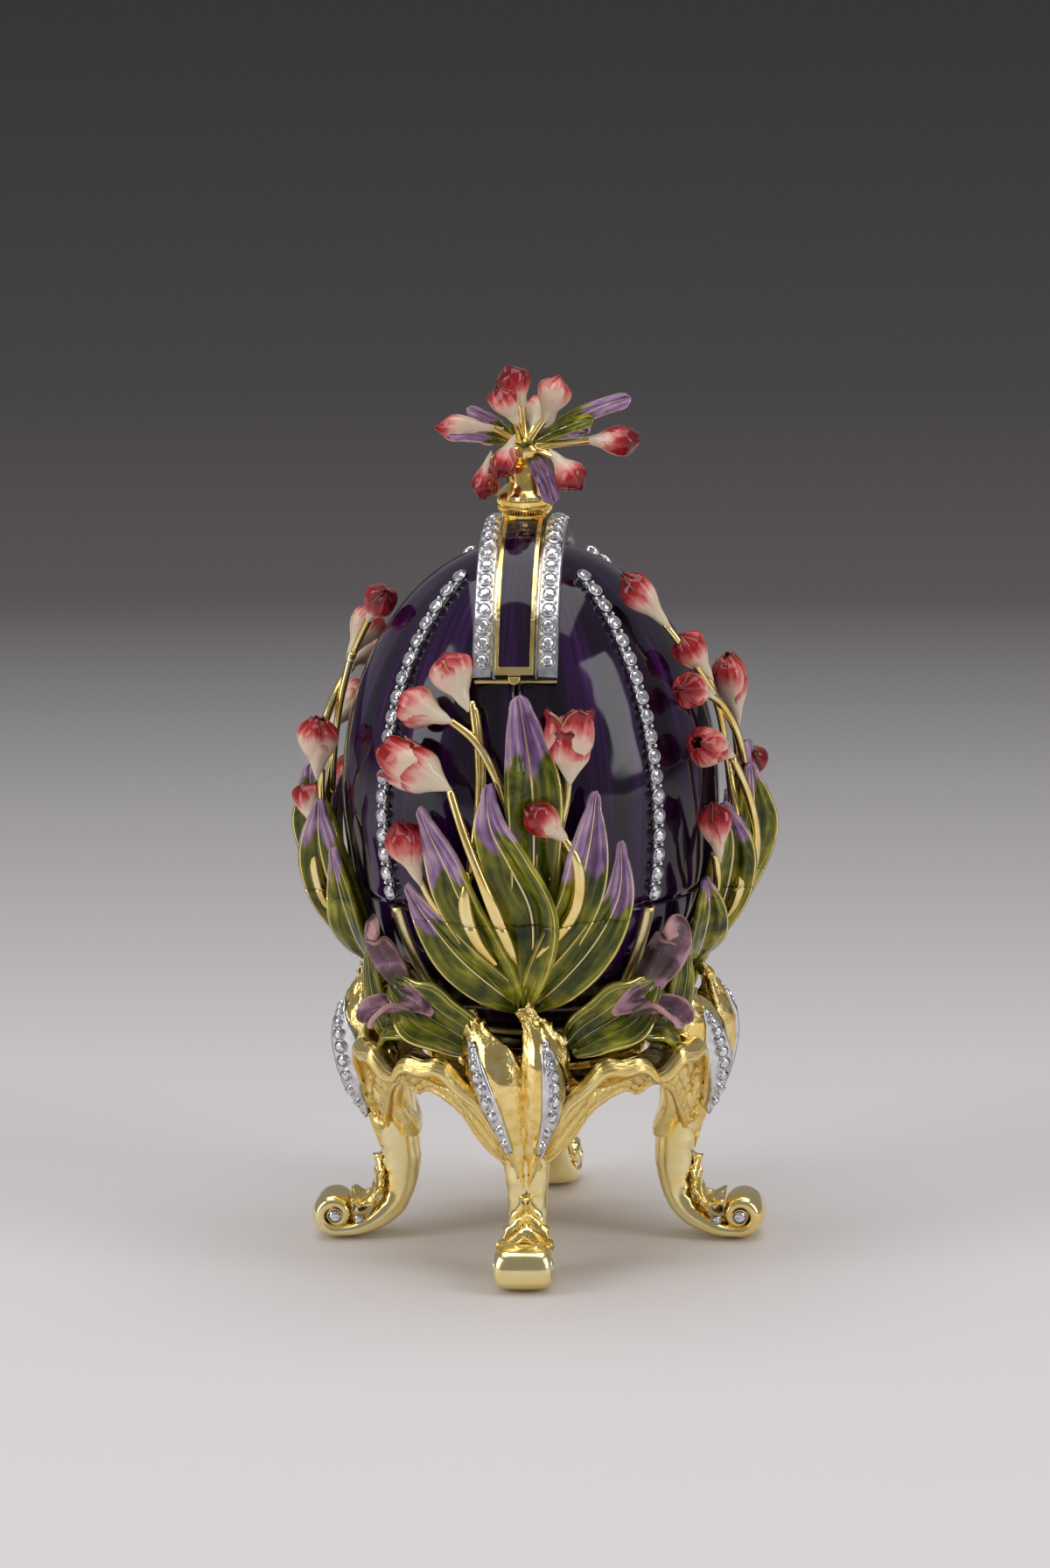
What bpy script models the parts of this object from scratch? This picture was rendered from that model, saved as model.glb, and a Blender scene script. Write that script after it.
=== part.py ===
# Egg trinket box on a four-legged stand: two upper doors on one rear pin, a clasp bar over the top,
# and tulip sprays. Metres, +Z up, front towards -Y, origin on the floor under the middle of the egg.
import math

import bmesh
import bpy
from mathutils import Matrix, Vector

MM = 0.001

# egg
EGG_RADIUS = 28.4 * MM
EGG_MIDDLE_Z = 69.5 * MM
EGG_BELOW = 38.5 * MM
EGG_ABOVE = 38.0 * MM
SHELL_WALL = 1.4 * MM
SHELL_ROWS = 11
EGG_STEPS = 32
SEAM_Z = 56.0 * MM
GAP = 0.3 * MM
SPLIT_GAP = 0.5 * MM
LINER_WALL = 0.8 * MM
LINER_RISE = 1.6 * MM
LINER_DROP = 5.0 * MM

# door hinge at the back and its fixed spine
HINGE_STANDOFF = 2.5 * MM
HINGE_Y = EGG_RADIUS + HINGE_STANDOFF
KNUCKLE_RADIUS = 2.1 * MM
HINGE_PIN_RADIUS = 0.9 * MM
PIN_CLEARANCE = 0.3 * MM
PIN_END = 0.7 * MM
PIN_HEAD_ROOM = 1.6 * MM
PIN_HEAD_HEIGHT = 0.8 * MM
KNUCKLE_BOTTOM = 57.5 * MM
FIXED_KNUCKLE = 3.0 * MM
DOOR_KNUCKLE = 9.6 * MM
HINGE_LEAF_WALL = 0.9 * MM
HINGE_LEAF_REACH = 9.5 * MM
SPINE_HALF_WIDTH = 1.1 * MM
SPINE_WALL = 2.0 * MM
SPINE_FOOT_Z = 49.0 * MM

# strap over the top: a rail on each door, and the clasp bar between them
STRAP_HALF_WIDTH = 6.3 * MM
STRAP_FRONT_Z = 91.0 * MM
STRAP_BACK_Z = 95.0 * MM
RAIL_TOP = 3.6 * MM
RAIL_EDGE = 2.8 * MM
RAIL_STEP = 2.0 * MM
BAR_HALF_WIDTH = 2.9 * MM
BAR_TOP = 4.4 * MM
BAR_FLOOR = 3.3 * MM
BAR_BORDER = 0.6 * MM
BAR_CLEARANCE = 0.35 * MM
BAR_STATIONS = 18
INLAY_SUNK = 0.1 * MM
BAR_END_BORDER = 1.0 * MM
CLASP_PIVOT_Z = 88.0 * MM
CLASP_PIVOT_OFFSET = 3.4 * MM
CLASP_PIN_RADIUS = 0.6 * MM
CLASP_EAR_RADIUS = 1.7 * MM
EAR_STEP = 0.15 * MM

# stones
ROW_ANGLES = (45.0, 135.0)
ROW_WIDTH = 2.0 * MM
ROW_BASE = 0.7 * MM
STONE_PITCH = 3.0 * MM
ROW_CLEAR = 2.2 * MM
STONE_NECK = 0.25 * MM
STONE_BEVEL = 0.45 * MM
STONE_HEIGHT = 0.6 * MM
RAIL_STONE_RADIUS = 1.0 * MM
RAIL_STONE_PITCH = 2.6 * MM

# stand
FOOT_REACH = 33.3 * MM
FOOT_RADIUS = 3.8 * MM
FOOT_HALF_WIDTH = 4.5 * MM
FOOT_FLAT_DEPTH = 0.2 * MM
STONE_EYE_RADIUS = 1.6 * MM
LEG_TOP_Z = 16.0 * MM
HEAD_TOP_Z = 40.5 * MM
RING_RADIUS = 18.6 * MM
RING_WIRE = 1.8 * MM
RING_Z = 29.0 * MM
SADDLE_THICKNESS = 2.0 * MM
SCREW_RADIUS = 1.5 * MM
SCREW_HEAD_RADIUS = 3.0 * MM
SCREW_DEPTH = 2.0 * MM
SCREW_HEAD_HEIGHT = 1.8 * MM
BOWL_FLOOR = 3.0 * MM
STRAP_RIB_WIDTH = 2.4 * MM
STRAP_RIB_WALL = 0.8 * MM
RIB_RING_Z = 38.0 * MM
RIB_RING_HEIGHT = 2.0 * MM
RIB_SUNK = 0.5 * MM

# sprays
LEAF_WALL = 1.1 * MM
STEM_RADIUS = 0.7 * MM
TULIP_CLEARANCE = 0.3 * MM
OVERHANG = 1.6 * MM

# finial
COLLAR_RADIUS = 4.1 * MM
COLLAR_HEIGHT = 2.1 * MM
CUP_RADIUS = 4.3 * MM
CUP_HEIGHT = 3.2 * MM
CUP_DEPTH = 1.4 * MM
HUB_RADIUS = 2.6 * MM
HUB_RISE = 1.8 * MM

for old in list(bpy.data.objects):
    bpy.data.objects.remove(old)

scene = bpy.context.scene
box = bpy.data.collections.new("egg_trinket_box")
cutters = bpy.data.collections.new("cutters")
scene.collection.children.link(box)
scene.collection.children.link(cutters)
cutters.hide_render = True


def finish(name, colour, roughness, metallic):
    made = bpy.data.materials.new(name)
    made.use_nodes = True
    shader = made.node_tree.nodes["Principled BSDF"]
    shader.inputs["Base Color"].default_value = (*colour, 1.0)
    shader.inputs["Roughness"].default_value = roughness
    shader.inputs["Metallic"].default_value = metallic
    return made


gold = finish("polished_gold", (0.90, 0.66, 0.25), 0.12, 1.0)
silver = finish("rhodium_silver", (0.82, 0.82, 0.84), 0.15, 1.0)
purple = finish("purple_enamel", (0.035, 0.006, 0.075), 0.06, 0.0)
green = finish("green_enamel", (0.13, 0.20, 0.05), 0.15, 0.0)
mauve = finish("mauve_enamel", (0.32, 0.18, 0.28), 0.15, 0.0)
petal = finish("tulip_enamel", (0.85, 0.62, 0.55), 0.12, 0.0)
dark = finish("hinge_steel", (0.55, 0.52, 0.48), 0.3, 1.0)


def place(azimuth, reach, height):
    """A point by its angle from the front, its distance from the egg's axis and its height."""
    turn = math.radians(azimuth)
    return Vector((reach * math.sin(turn), -reach * math.cos(turn), height))


def egg_radius(z):
    half = EGG_ABOVE if z > EGG_MIDDLE_Z else EGG_BELOW
    level = min(1.0, abs(z - EGG_MIDDLE_Z) / half)
    return EGG_RADIUS * math.sqrt(1.0 - level * level)


def egg_normal(z):
    """The outward direction of the egg's outline, as reach and height."""
    half = EGG_ABOVE if z > EGG_MIDDLE_Z else EGG_BELOW
    out = Vector((egg_radius(z) / EGG_RADIUS**2, (z - EGG_MIDDLE_Z) / half**2))
    return out.normalized()


def outline_point(z, offset):
    out = egg_normal(z)
    return Vector((egg_radius(z) + offset * out.x, z + offset * out.y))


def on_egg(azimuth, z, offset):
    point = outline_point(z, offset)
    return place(azimuth, point.x, point.y)


def outward(azimuth, z):
    out = egg_normal(z)
    return place(azimuth, out.x, out.y)


def outline(z_from, z_to, offset, count):
    """Points along the egg's outline, even in angle so that the pole is well shaped."""
    def angle(z):
        half = EGG_ABOVE if z > EGG_MIDDLE_Z else EGG_BELOW
        return math.asin(max(-1.0, min(1.0, (z - EGG_MIDDLE_Z) / half)))

    start = angle(z_from)
    end = angle(z_to)
    points = []
    for i in range(count):
        turn = start + (end - start) * i / (count - 1)
        half = EGG_ABOVE if turn > 0 else EGG_BELOW
        points.append(outline_point(EGG_MIDDLE_Z + half * math.sin(turn), offset))
    return points


def add(name, mesh, material, cutter=False):
    made = bpy.data.objects.new(name, mesh)
    (cutters if cutter else box).objects.link(made)
    if cutter:
        made.hide_render = True
        made.display_type = "WIRE"
    mesh.materials.clear()
    mesh.materials.append(material)
    return made


def from_bmesh(name, shape, material, cutter=False):
    mesh = bpy.data.meshes.new(name)
    bmesh.ops.recalc_face_normals(shape, faces=shape.faces)
    shape.to_mesh(mesh)
    shape.free()
    return add(name, mesh, material, cutter)


def settle(item):
    """Applies an object's modifiers, and its place, to its mesh."""
    bpy.context.view_layer.update()
    graph = bpy.context.evaluated_depsgraph_get()
    mesh = bpy.data.meshes.new_from_object(item.evaluated_get(graph))
    mesh.transform(item.matrix_world)
    shape = bmesh.new()
    shape.from_mesh(mesh)
    bmesh.ops.remove_doubles(shape, verts=shape.verts, dist=0.002 * MM)
    shape.to_mesh(mesh)
    shape.free()
    if item.type == "MESH":
        item.modifiers.clear()
        item.data = mesh
        item.matrix_world = Matrix.Identity(4)
        return item
    made = bpy.data.objects.new(item.name, mesh)
    for home in item.users_collection:
        home.objects.link(made)
    name = item.name
    bpy.data.objects.remove(item)
    made.name = name
    return made


def combine(item, others, operation):
    """Joins or cuts item with each of the others, in turn."""
    for other in others:
        step = item.modifiers.new(operation.lower(), "BOOLEAN")
        step.operation = operation
        step.object = other
        step.solver = "EXACT"
        settle(item)
        bpy.data.objects.remove(other)
    return item


def keep_main_body(item):
    """Drops the crumbs that a cut leaves beside the main body."""
    shape = bmesh.new()
    shape.from_mesh(item.data)
    left = set(shape.verts)
    bodies = []
    while left:
        stack = [left.pop()]
        body = set(stack)
        while stack:
            for edge in stack.pop().link_edges:
                for corner in edge.verts:
                    if corner in left:
                        left.discard(corner)
                        body.add(corner)
                        stack.append(corner)
        bodies.append(body)
    bodies.sort(key=len)
    for body in bodies[:-1]:
        bmesh.ops.delete(shape, geom=list(body), context="VERTS")
    shape.to_mesh(item.data)
    shape.free()
    return item


def smooth(item, angle=35.0):
    item.data.shade_smooth()
    item.data.set_sharp_from_angle(angle=math.radians(angle))
    return item


def turned(name, profile, material, steps=32, cutter=False):
    """Turns a profile of reach and height, given from top to bottom on its outer side, round the axis."""
    mesh = bpy.data.meshes.new(name)
    points = [(p[0], 0.0, p[1]) for p in profile]
    edges = [(i, i + 1) for i in range(len(points) - 1)]
    if profile[0][0] > 0.0 or profile[-1][0] > 0.0:
        edges.append((len(points) - 1, 0))
    mesh.from_pydata(points, edges, [])
    item = add(name, mesh, material, cutter)
    screw = item.modifiers.new("turn", "SCREW")
    screw.steps = steps
    screw.render_steps = steps
    screw.use_merge_vertices = True
    screw.merge_threshold = 0.01 * MM
    settle(item)
    shape = bmesh.new()
    shape.from_mesh(item.data)
    bmesh.ops.recalc_face_normals(shape, faces=shape.faces)
    shape.to_mesh(item.data)
    shape.free()
    return item


def cylinder(name, radius, length, centre, axis, material, sides=16, cutter=False):
    shape = bmesh.new()
    bmesh.ops.create_cone(shape, cap_ends=True, segments=sides, radius1=radius, radius2=radius, depth=length)
    turn = Vector((0, 0, 1)).rotation_difference(Vector(axis)).to_matrix().to_4x4()
    bmesh.ops.transform(shape, matrix=Matrix.Translation(centre) @ turn, verts=shape.verts)
    return from_bmesh(name, shape, material, cutter)


def block(name, low, high, material, cutter=True):
    shape = bmesh.new()
    size = Vector(high) - Vector(low)
    middle = (Vector(high) + Vector(low)) / 2
    fit = Matrix.Translation(middle) @ Matrix.Diagonal((*size, 1.0))
    bmesh.ops.create_cube(shape, size=1.0, matrix=fit)
    return from_bmesh(name, shape, material, cutter)


def plate(name, points, half, material, frame):
    """A flat outline, extruded by half on each side, and put in place by frame."""
    curve = bpy.data.curves.new(name, "CURVE")
    curve.dimensions = "2D"
    curve.fill_mode = "BOTH"
    curve.extrude = half
    line = curve.splines.new("POLY")
    line.points.add(len(points) - 1)
    for corner, point in zip(line.points, points):
        corner.co = (point[0], point[1], 0.0, 1.0)
    line.use_cyclic_u = True
    item = add_curve(name, curve, material)
    item.matrix_world = frame
    return settle(item)


def add_curve(name, curve, material):
    item = bpy.data.objects.new(name, curve)
    box.objects.link(item)
    curve.materials.append(material)
    return item


def tube(name, points, radius, material, sides=2):
    """A round stem through the points."""
    curve = bpy.data.curves.new(name, "CURVE")
    curve.dimensions = "3D"
    curve.bevel_depth = radius
    curve.bevel_resolution = sides
    curve.use_fill_caps = True
    line = curve.splines.new("POLY")
    line.points.add(len(points) - 1)
    for corner, point in zip(line.points, points):
        corner.co = (*point, 1.0)
    return settle(add_curve(name, curve, material))


def meridian(azimuth):
    """The frame whose X is the way out from the axis at this angle, and whose Y is up."""
    out = place(azimuth, 1.0, 0.0)
    side = out.cross(Vector((0, 0, 1)))
    return Matrix((out, Vector((0, 0, 1)), side)).transposed().to_4x4()


def loft(name, rings, material, cutter=False):
    """Skins a row of unlike rings of equally many points, and closes both ends."""
    shape = bmesh.new()
    rows = [[shape.verts.new(p) for p in ring] for ring in rings]
    count = len(rows[0])
    for near, far in zip(rows, rows[1:]):
        for i in range(count):
            shape.faces.new((near[i], near[(i + 1) % count], far[(i + 1) % count], far[i]))
    shape.faces.new(rows[0])
    shape.faces.new(rows[-1])
    return from_bmesh(name, shape, material, cutter)


def smooth_between(keys, count):
    """Evenly spaced values on a smooth curve through the keys, which are tuples of equal length."""
    found = []
    last = len(keys) - 1
    for step in range(count):
        t = last * step / (count - 1)
        i = min(int(t), last - 1)
        u = t - i
        a = keys[max(i - 1, 0)]
        b = keys[i]
        c = keys[i + 1]
        d = keys[min(i + 2, last)]
        value = []
        for p, q, r, s in zip(a, b, c, d):
            bend = (2 * p - 5 * q + 4 * r - s) * u * u + (3 * q - p - 3 * r + s) * u**3
            value.append(0.5 * (2 * q + (r - p) * u + bend))
        found.append(tuple(value))
    return found


def leaf(name, keys, material, rows=6, across=2, cup=0.22):
    """A leaf whose keys are points and half widths. Its edges lift by a share of the half width."""
    shape = bmesh.new()
    bmesh.ops.create_grid(shape, x_segments=across, y_segments=rows - 1, size=1.0)
    spine = [(Vector(k[:3]), Vector(k[3:6]), max(k[6], 0.3 * MM)) for k in smooth_between(keys, rows)]
    for corner in shape.verts:
        row = round((corner.co.y + 1.0) / 2.0 * (rows - 1))
        side = corner.co.x
        point, up, half = spine[row]
        ahead = spine[min(row + 1, rows - 1)][0] - spine[max(row - 1, 0)][0]
        cross = ahead.cross(up).normalized()
        corner.co = point + cross * (side * half) + up.normalized() * (cup * half * side * side)
    item = from_bmesh(name, shape, material)
    thick = item.modifiers.new("wall", "SOLIDIFY")
    thick.thickness = LEAF_WALL
    thick.offset = 0.0
    return settle(item)


def tulip(name, base, tip, radius, material, grow=0.0, cutter=False):
    """A closed bud on the line from base to tip, with three lobes round its open end."""
    shape = bmesh.new()
    bmesh.ops.create_uvsphere(shape, u_segments=9, v_segments=6, radius=1.0)
    base = Vector(base)
    tip = Vector(tip)
    length = (tip - base).length
    for corner in shape.verts:
        turn = math.atan2(corner.co.y, corner.co.x)
        t = (corner.co.z + 1.0) / 2.0
        wide = radius * (1.0 - 0.12 * math.cos(3 * turn) * t) * (0.72 + 0.38 * math.sin(math.pi * t**0.8))
        high = length * (t - 0.10 * (t > 0.95)) + 0.07 * length * math.cos(3 * turn) * (0.6 < t < 0.95)
        corner.co.x *= wide + grow
        corner.co.y *= wide + grow
        corner.co.z = high + grow * (2.0 * t - 1.0)
    turn = Vector((0, 0, 1)).rotation_difference(tip - base).to_matrix().to_4x4()
    bmesh.ops.transform(shape, matrix=Matrix.Translation(base) @ turn, verts=shape.verts)
    return from_bmesh(name, shape, material, cutter)


# empties on the joint axes
def axis_empty(name, point):
    item = bpy.data.objects.new(name, None)
    item.empty_display_size = 5 * MM
    item.location = point
    box.objects.link(item)
    return item


knuckle_top = KNUCKLE_BOTTOM + 2 * FIXED_KNUCKLE + 2 * DOOR_KNUCKLE + 3 * GAP
clasp_pivot = on_egg(180.0, CLASP_PIVOT_Z, CLASP_PIVOT_OFFSET)
left_axis = axis_empty("left_door_axis", (0.0, HINGE_Y, SEAM_Z))
right_axis = axis_empty("right_door_axis", (0.0, HINGE_Y, SEAM_Z))
clasp_axis = axis_empty("clasp_axis", clasp_pivot)
bpy.context.view_layer.update()


def carry(item, parent):
    item.parent = parent
    item.matrix_parent_inverse = parent.matrix_world.inverted()
    return item


# stand
def leg(name, azimuth):
    """A cabriole leg from its ankle joint down to a scroll foot that has a small flat under it."""
    foot = (FOOT_REACH - FOOT_RADIUS, FOOT_RADIUS - FOOT_FLAT_DEPTH)
    stations = [
        (20.0 * MM, LEG_TOP_Z, 3.7 * MM, 3.5 * MM),
        (20.1 * MM, 12.5 * MM, 3.3 * MM, 3.1 * MM),
        (20.3 * MM, 8.8 * MM, 2.9 * MM, 3.0 * MM),
        (21.2 * MM, 5.4 * MM, 2.5 * MM, 3.1 * MM),
        (23.4 * MM, 3.0 * MM, 2.1 * MM, 3.5 * MM),
        (26.2 * MM, 2.2 * MM, 1.9 * MM, 4.0 * MM),
        (foot[0], 1.9 * MM, 1.8 * MM, 4.1 * MM),
    ]
    frame = meridian(azimuth)
    rings = []
    path = smooth_between(stations, 10)
    for i, (reach, z, thick, wide) in enumerate(path):
        ahead = Vector(path[min(i + 1, len(path) - 1)][:2]) - Vector(path[max(i - 1, 0)][:2])
        across = Vector((-ahead.y, ahead.x)).normalized()
        if i == 0:
            across = Vector((1.0, 0.0))
        ring = []
        for k in range(8):
            turn = 2 * math.pi * k / 8
            shift = across * (thick * math.cos(turn))
            ring.append(frame @ Vector((reach + shift.x, z + shift.y, wide * math.sin(turn))))
        rings.append(ring)
    item = loft(name, rings, gold)
    side = place(azimuth + 90.0, 1.0, 0.0)
    centre = place(azimuth, *foot)
    scroll = cylinder("scroll", FOOT_RADIUS, 2 * FOOT_HALF_WIDTH, centre, side, gold, 14)
    rounded = scroll.modifiers.new("round", "BEVEL")
    rounded.width = 1.0 * MM
    rounded.segments = 1
    settle(scroll)
    eye = cylinder("eye", STONE_EYE_RADIUS, 2 * FOOT_HALF_WIDTH + 0.7 * MM, centre, side, gold, 8)
    combine(item, [scroll, eye], "UNION")
    reach = FOOT_REACH + 5 * MM
    floor = block("floor", (-reach, -reach, -5 * MM), (reach, reach, 0.0), gold)
    combine(item, [floor], "DIFFERENCE")
    return smooth(item)


def tulip_head(name, azimuth):
    """The gold tulip over a leg: a swelling cup that ends in two petal tips, each with a pave ridge."""
    frame = meridian(azimuth)
    item = None
    for side, height in ((-1, HEAD_TOP_Z - 1.2 * MM), (1, HEAD_TOP_Z)):
        stations = [
            (20.0 * MM, LEG_TOP_Z + GAP, 3.7 * MM, 3.3 * MM, 0.3 * MM),
            (21.6 * MM, 19.5 * MM, 4.3 * MM, 4.0 * MM, 1.6 * MM),
            (24.2 * MM, 24.0 * MM, 4.3 * MM, 4.6 * MM, 2.9 * MM),
            (25.8 * MM, 29.5 * MM, 4.0 * MM, 4.8 * MM, 3.9 * MM),
            (25.9 * MM, 34.5 * MM, 2.9 * MM, 4.2 * MM, 3.6 * MM),
            (25.2 * MM, 38.2 * MM, 1.7 * MM, 2.8 * MM, 2.9 * MM),
            (25.0 * MM, height, 0.7 * MM, 0.8 * MM, 2.6 * MM),
        ]
        rings = []
        for reach, z, thick, wide, shift in smooth_between(stations, 7):
            ring = []
            for k in range(8):
                turn = 2 * math.pi * k / 8
                across = side * shift + wide * math.sin(turn)
                ring.append(frame @ Vector((reach + thick * math.cos(turn), z, across)))
            rings.append(ring)
        petal_body = loft(name, rings, gold)
        ridge = [
            place(azimuth, 26.2 * MM, 20.5 * MM) + frame.col[2].xyz * (side * 1.8 * MM),
            place(azimuth, 29.2 * MM, 25.5 * MM) + frame.col[2].xyz * (side * 3.6 * MM),
            place(azimuth, 29.7 * MM, 30.5 * MM) + frame.col[2].xyz * (side * 4.2 * MM),
            place(azimuth, 28.3 * MM, 35.5 * MM) + frame.col[2].xyz * (side * 3.4 * MM),
        ]
        combine(petal_body, [tube("ridge", ridge, 1.0 * MM, gold, 0)], "UNION")
        item = petal_body if item is None else combine(item, [petal_body], "UNION")
    item.name = name
    return smooth(item, 50.0)


def cup_ring():
    """A round wire ring inside the heads, with four wavy lips that fill the spaces between them."""
    profile = []
    for k in range(8):
        turn = math.pi / 2 - 2 * math.pi * (k + 0.5) / 8
        profile.append((RING_RADIUS + RING_WIRE * math.cos(turn), RING_Z + RING_WIRE * math.sin(turn)))
    item = turned("cup_ring", profile, gold, 24)
    for quarter in range(4):
        rings = []
        for i in range(7):
            swing = -26.0 + 52.0 * i / 6
            azimuth = 45.0 + 90.0 * quarter + swing
            dip = math.cos(math.radians(swing * 360.0 / 52.0))
            z = RING_Z + 0.8 * MM - 0.9 * MM * dip
            inner = RING_RADIUS + 0.4 * MM
            outer = 24.6 * MM + 1.2 * MM * dip
            ring = [
                place(azimuth, inner, z + 0.8 * MM),
                place(azimuth, outer, z + 1.6 * MM),
                place(azimuth, outer + 0.9 * MM, z + 0.4 * MM),
                place(azimuth, outer - 0.4 * MM, z - 0.6 * MM),
                place(azimuth, inner, z - 0.6 * MM),
            ]
            rings.append(ring)
        combine(item, [loft("lip", rings, gold)], "UNION")
    return smooth(item, 50.0)


def leaf_scroll(name, azimuth):
    """A broad ribbed leaf that rises from the ring and curls over outwards in a lip."""
    stations = [
        (RING_RADIUS + 4.0 * MM, 32.6 * MM, 4.5),
        (RING_RADIUS + 4.6 * MM, 34.6 * MM, 16.0),
        (RING_RADIUS + 6.0 * MM, 38.5 * MM, 21.0),
        (egg_radius(43.5 * MM) + 5.1 * MM, 43.5 * MM, 16.0),
        (egg_radius(48.5 * MM) + 3.4 * MM, 48.5 * MM, 11.0),
        (egg_radius(52.6 * MM) + 3.4 * MM, 52.6 * MM, 10.0),
        (egg_radius(53.4 * MM) + 5.2 * MM, 53.4 * MM, 9.5),
        (egg_radius(51.0 * MM) + 7.4 * MM, 51.0 * MM, 8.0),
        (egg_radius(48.6 * MM) + 7.6 * MM, 48.6 * MM, 5.0),
    ]
    rows = 11
    across = 4
    shape = bmesh.new()
    bmesh.ops.create_grid(shape, x_segments=across, y_segments=rows - 1, size=1.0)
    path = smooth_between(stations, rows)
    for corner in shape.verts:
        row = round((corner.co.y + 1.0) / 2.0 * (rows - 1))
        side = corner.co.x
        reach, z, half = path[row]
        curl = row / (rows - 1)
        out = 0.9 * MM * side * side * (1.0 - curl) + 0.5 * MM * math.cos(2 * math.pi * side) * (1.0 - curl)
        droop = 1.6 * MM * side * side * min(1.0, 3.0 * curl)
        corner.co = place(azimuth + half * side, reach + out, z - droop)
    item = from_bmesh(name, shape, mauve)
    thick = item.modifiers.new("wall", "SOLIDIFY")
    thick.thickness = 1.0 * MM
    thick.offset = 0.0
    settle(item)
    root_reach = RING_RADIUS + 4.0 * MM
    root_line = [place(azimuth, root_reach, 30.9 * MM), place(azimuth, root_reach + 0.3 * MM, 34.4 * MM)]
    root = tube("root", root_line, 1.0 * MM, mauve, 1)
    combine(item, [root], "UNION")
    return smooth(item, 50.0)


for number, side_name in enumerate(("front", "right", "back", "left")):
    leg("leg_" + side_name, 90.0 * number)
    tulip_head("tulip_head_" + side_name, 90.0 * number)

cup_ring()

for number, side_name in enumerate(("front_right", "back_right", "back_left", "front_left")):
    leaf_scroll("leaf_scroll_" + side_name, 45.0 + 90.0 * number)

egg_bottom = EGG_MIDDLE_Z - EGG_BELOW
saddle_top = egg_bottom - GAP
saddle_reach = RING_RADIUS - RING_WIRE - GAP
screw_hole = SCREW_RADIUS + GAP


def saddle():
    """The plate that the egg stands on, inside the ring, with the screw's hole through it."""
    low = saddle_top - SADDLE_THICKNESS
    profile = [
        (screw_hole, saddle_top),
        (saddle_reach, saddle_top),
        (saddle_reach, low),
        (screw_hole, low),
    ]
    return smooth(turned("saddle_plate", profile, gold, 32))


def base_screw():
    """The screw from below the plate into the bottom of the bowl."""
    seat = saddle_top - SADDLE_THICKNESS - GAP
    profile = [
        (0.0, egg_bottom + SCREW_DEPTH),
        (SCREW_RADIUS, egg_bottom + SCREW_DEPTH),
        (SCREW_RADIUS, seat),
        (SCREW_HEAD_RADIUS, seat),
        (SCREW_HEAD_RADIUS, seat - SCREW_HEAD_HEIGHT),
        (0.0, seat - SCREW_HEAD_HEIGHT),
    ]
    return smooth(turned("base_screw", profile, dark, 16))


saddle()
base_screw()


# fixed bowl
bowl_top = SEAM_Z - GAP / 2
door_bottom = SEAM_Z + GAP / 2


def bowl():
    """The lower egg, thick at its bottom where the screw goes in."""
    outer = outline(bowl_top, egg_bottom + 0.02 * MM, 0.0, 8)
    inner = outline(egg_bottom + BOWL_FLOOR, bowl_top, -SHELL_WALL, 6)
    inner = [p for p in inner if p.y > egg_bottom + BOWL_FLOOR]
    profile = [(0.0, egg_bottom + BOWL_FLOOR), (inner[0].x, egg_bottom + BOWL_FLOOR)]
    profile += [(p.x, p.y) for p in inner[1:-1]]
    profile += [(inner[-1].x, bowl_top), (outer[0].x, bowl_top)]
    profile += [(p.x, p.y) for p in outer[1:]]
    profile += [(screw_hole, egg_bottom), (screw_hole, egg_bottom + SCREW_DEPTH + GAP)]
    profile.append((0.0, egg_bottom + SCREW_DEPTH + GAP))
    return smooth(turned("bowl", profile, purple, EGG_STEPS))


def bowl_liner():
    """The gold lip inside the seam: it follows the bowl's wall and stands up behind the doors' edges."""
    back = -SHELL_WALL - GAP
    points = outline(bowl_top, bowl_top - LINER_DROP, back, 3)
    top = points[0].y + LINER_RISE
    profile = [(points[0].x, top)] + [(p.x, p.y) for p in points]
    profile += [(p.x - LINER_WALL, p.y) for p in reversed(points)] + [(points[0].x - LINER_WALL, top)]
    return smooth(turned("bowl_liner", profile, gold, EGG_STEPS))


def bowl_straps():
    """Four plain gold strips that run on from the stone rows down to a ring round the bowl."""
    low = RIB_RING_Z
    ring = outline(low + RIB_RING_HEIGHT, low, GAP, 2)
    profile = [(p.x + STRAP_RIB_WALL, p.y) for p in ring] + [(p.x, p.y) for p in reversed(ring)]
    item = turned("bowl_straps", profile, gold, EGG_STEPS)
    for quarter in range(4):
        outer = outline(low + RIB_SUNK, bowl_top - GAP, GAP + STRAP_RIB_WALL, 7)
        inner = outline(bowl_top - GAP, low + RIB_SUNK, GAP, 7)
        strip = plate("strip", outer + inner, STRAP_RIB_WIDTH / 2, gold, meridian(45.0 + 90.0 * quarter))
        combine(item, [strip], "UNION")
    return smooth(item)


bowl()
bowl_liner()
bowl_straps()


# doors
def door_shell(name, side):
    """Half of the upper egg: a turned wall, cut at the middle plane."""
    outer = outline(EGG_MIDDLE_Z + EGG_ABOVE, door_bottom, 0.0, SHELL_ROWS)
    inner = outline(door_bottom, EGG_MIDDLE_Z + EGG_ABOVE, -SHELL_WALL, SHELL_ROWS)
    profile = [(max(p.x, 0.0), p.y) for p in outer] + [(max(p.x, 0.0), p.y) for p in inner]
    profile[0] = (0.0, profile[0][1])
    profile[-1] = (0.0, profile[-1][1])
    low = SHELL_ROWS - 1
    profile[low] = (profile[low][0], door_bottom)
    profile[low + 1] = (profile[low + 1][0], door_bottom)
    item = turned(name, profile, purple, EGG_STEPS)
    far = 2 * EGG_RADIUS
    near = SPLIT_GAP / 2
    if side < 0:
        cut = block("cut", (-near, -far, 0.0), (far, far, 4 * far), purple)
    else:
        cut = block("cut", (-far, -far, 0.0), (near, far, 4 * far), purple)
    combine(item, [cut], "DIFFERENCE")
    return smooth(item)


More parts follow.
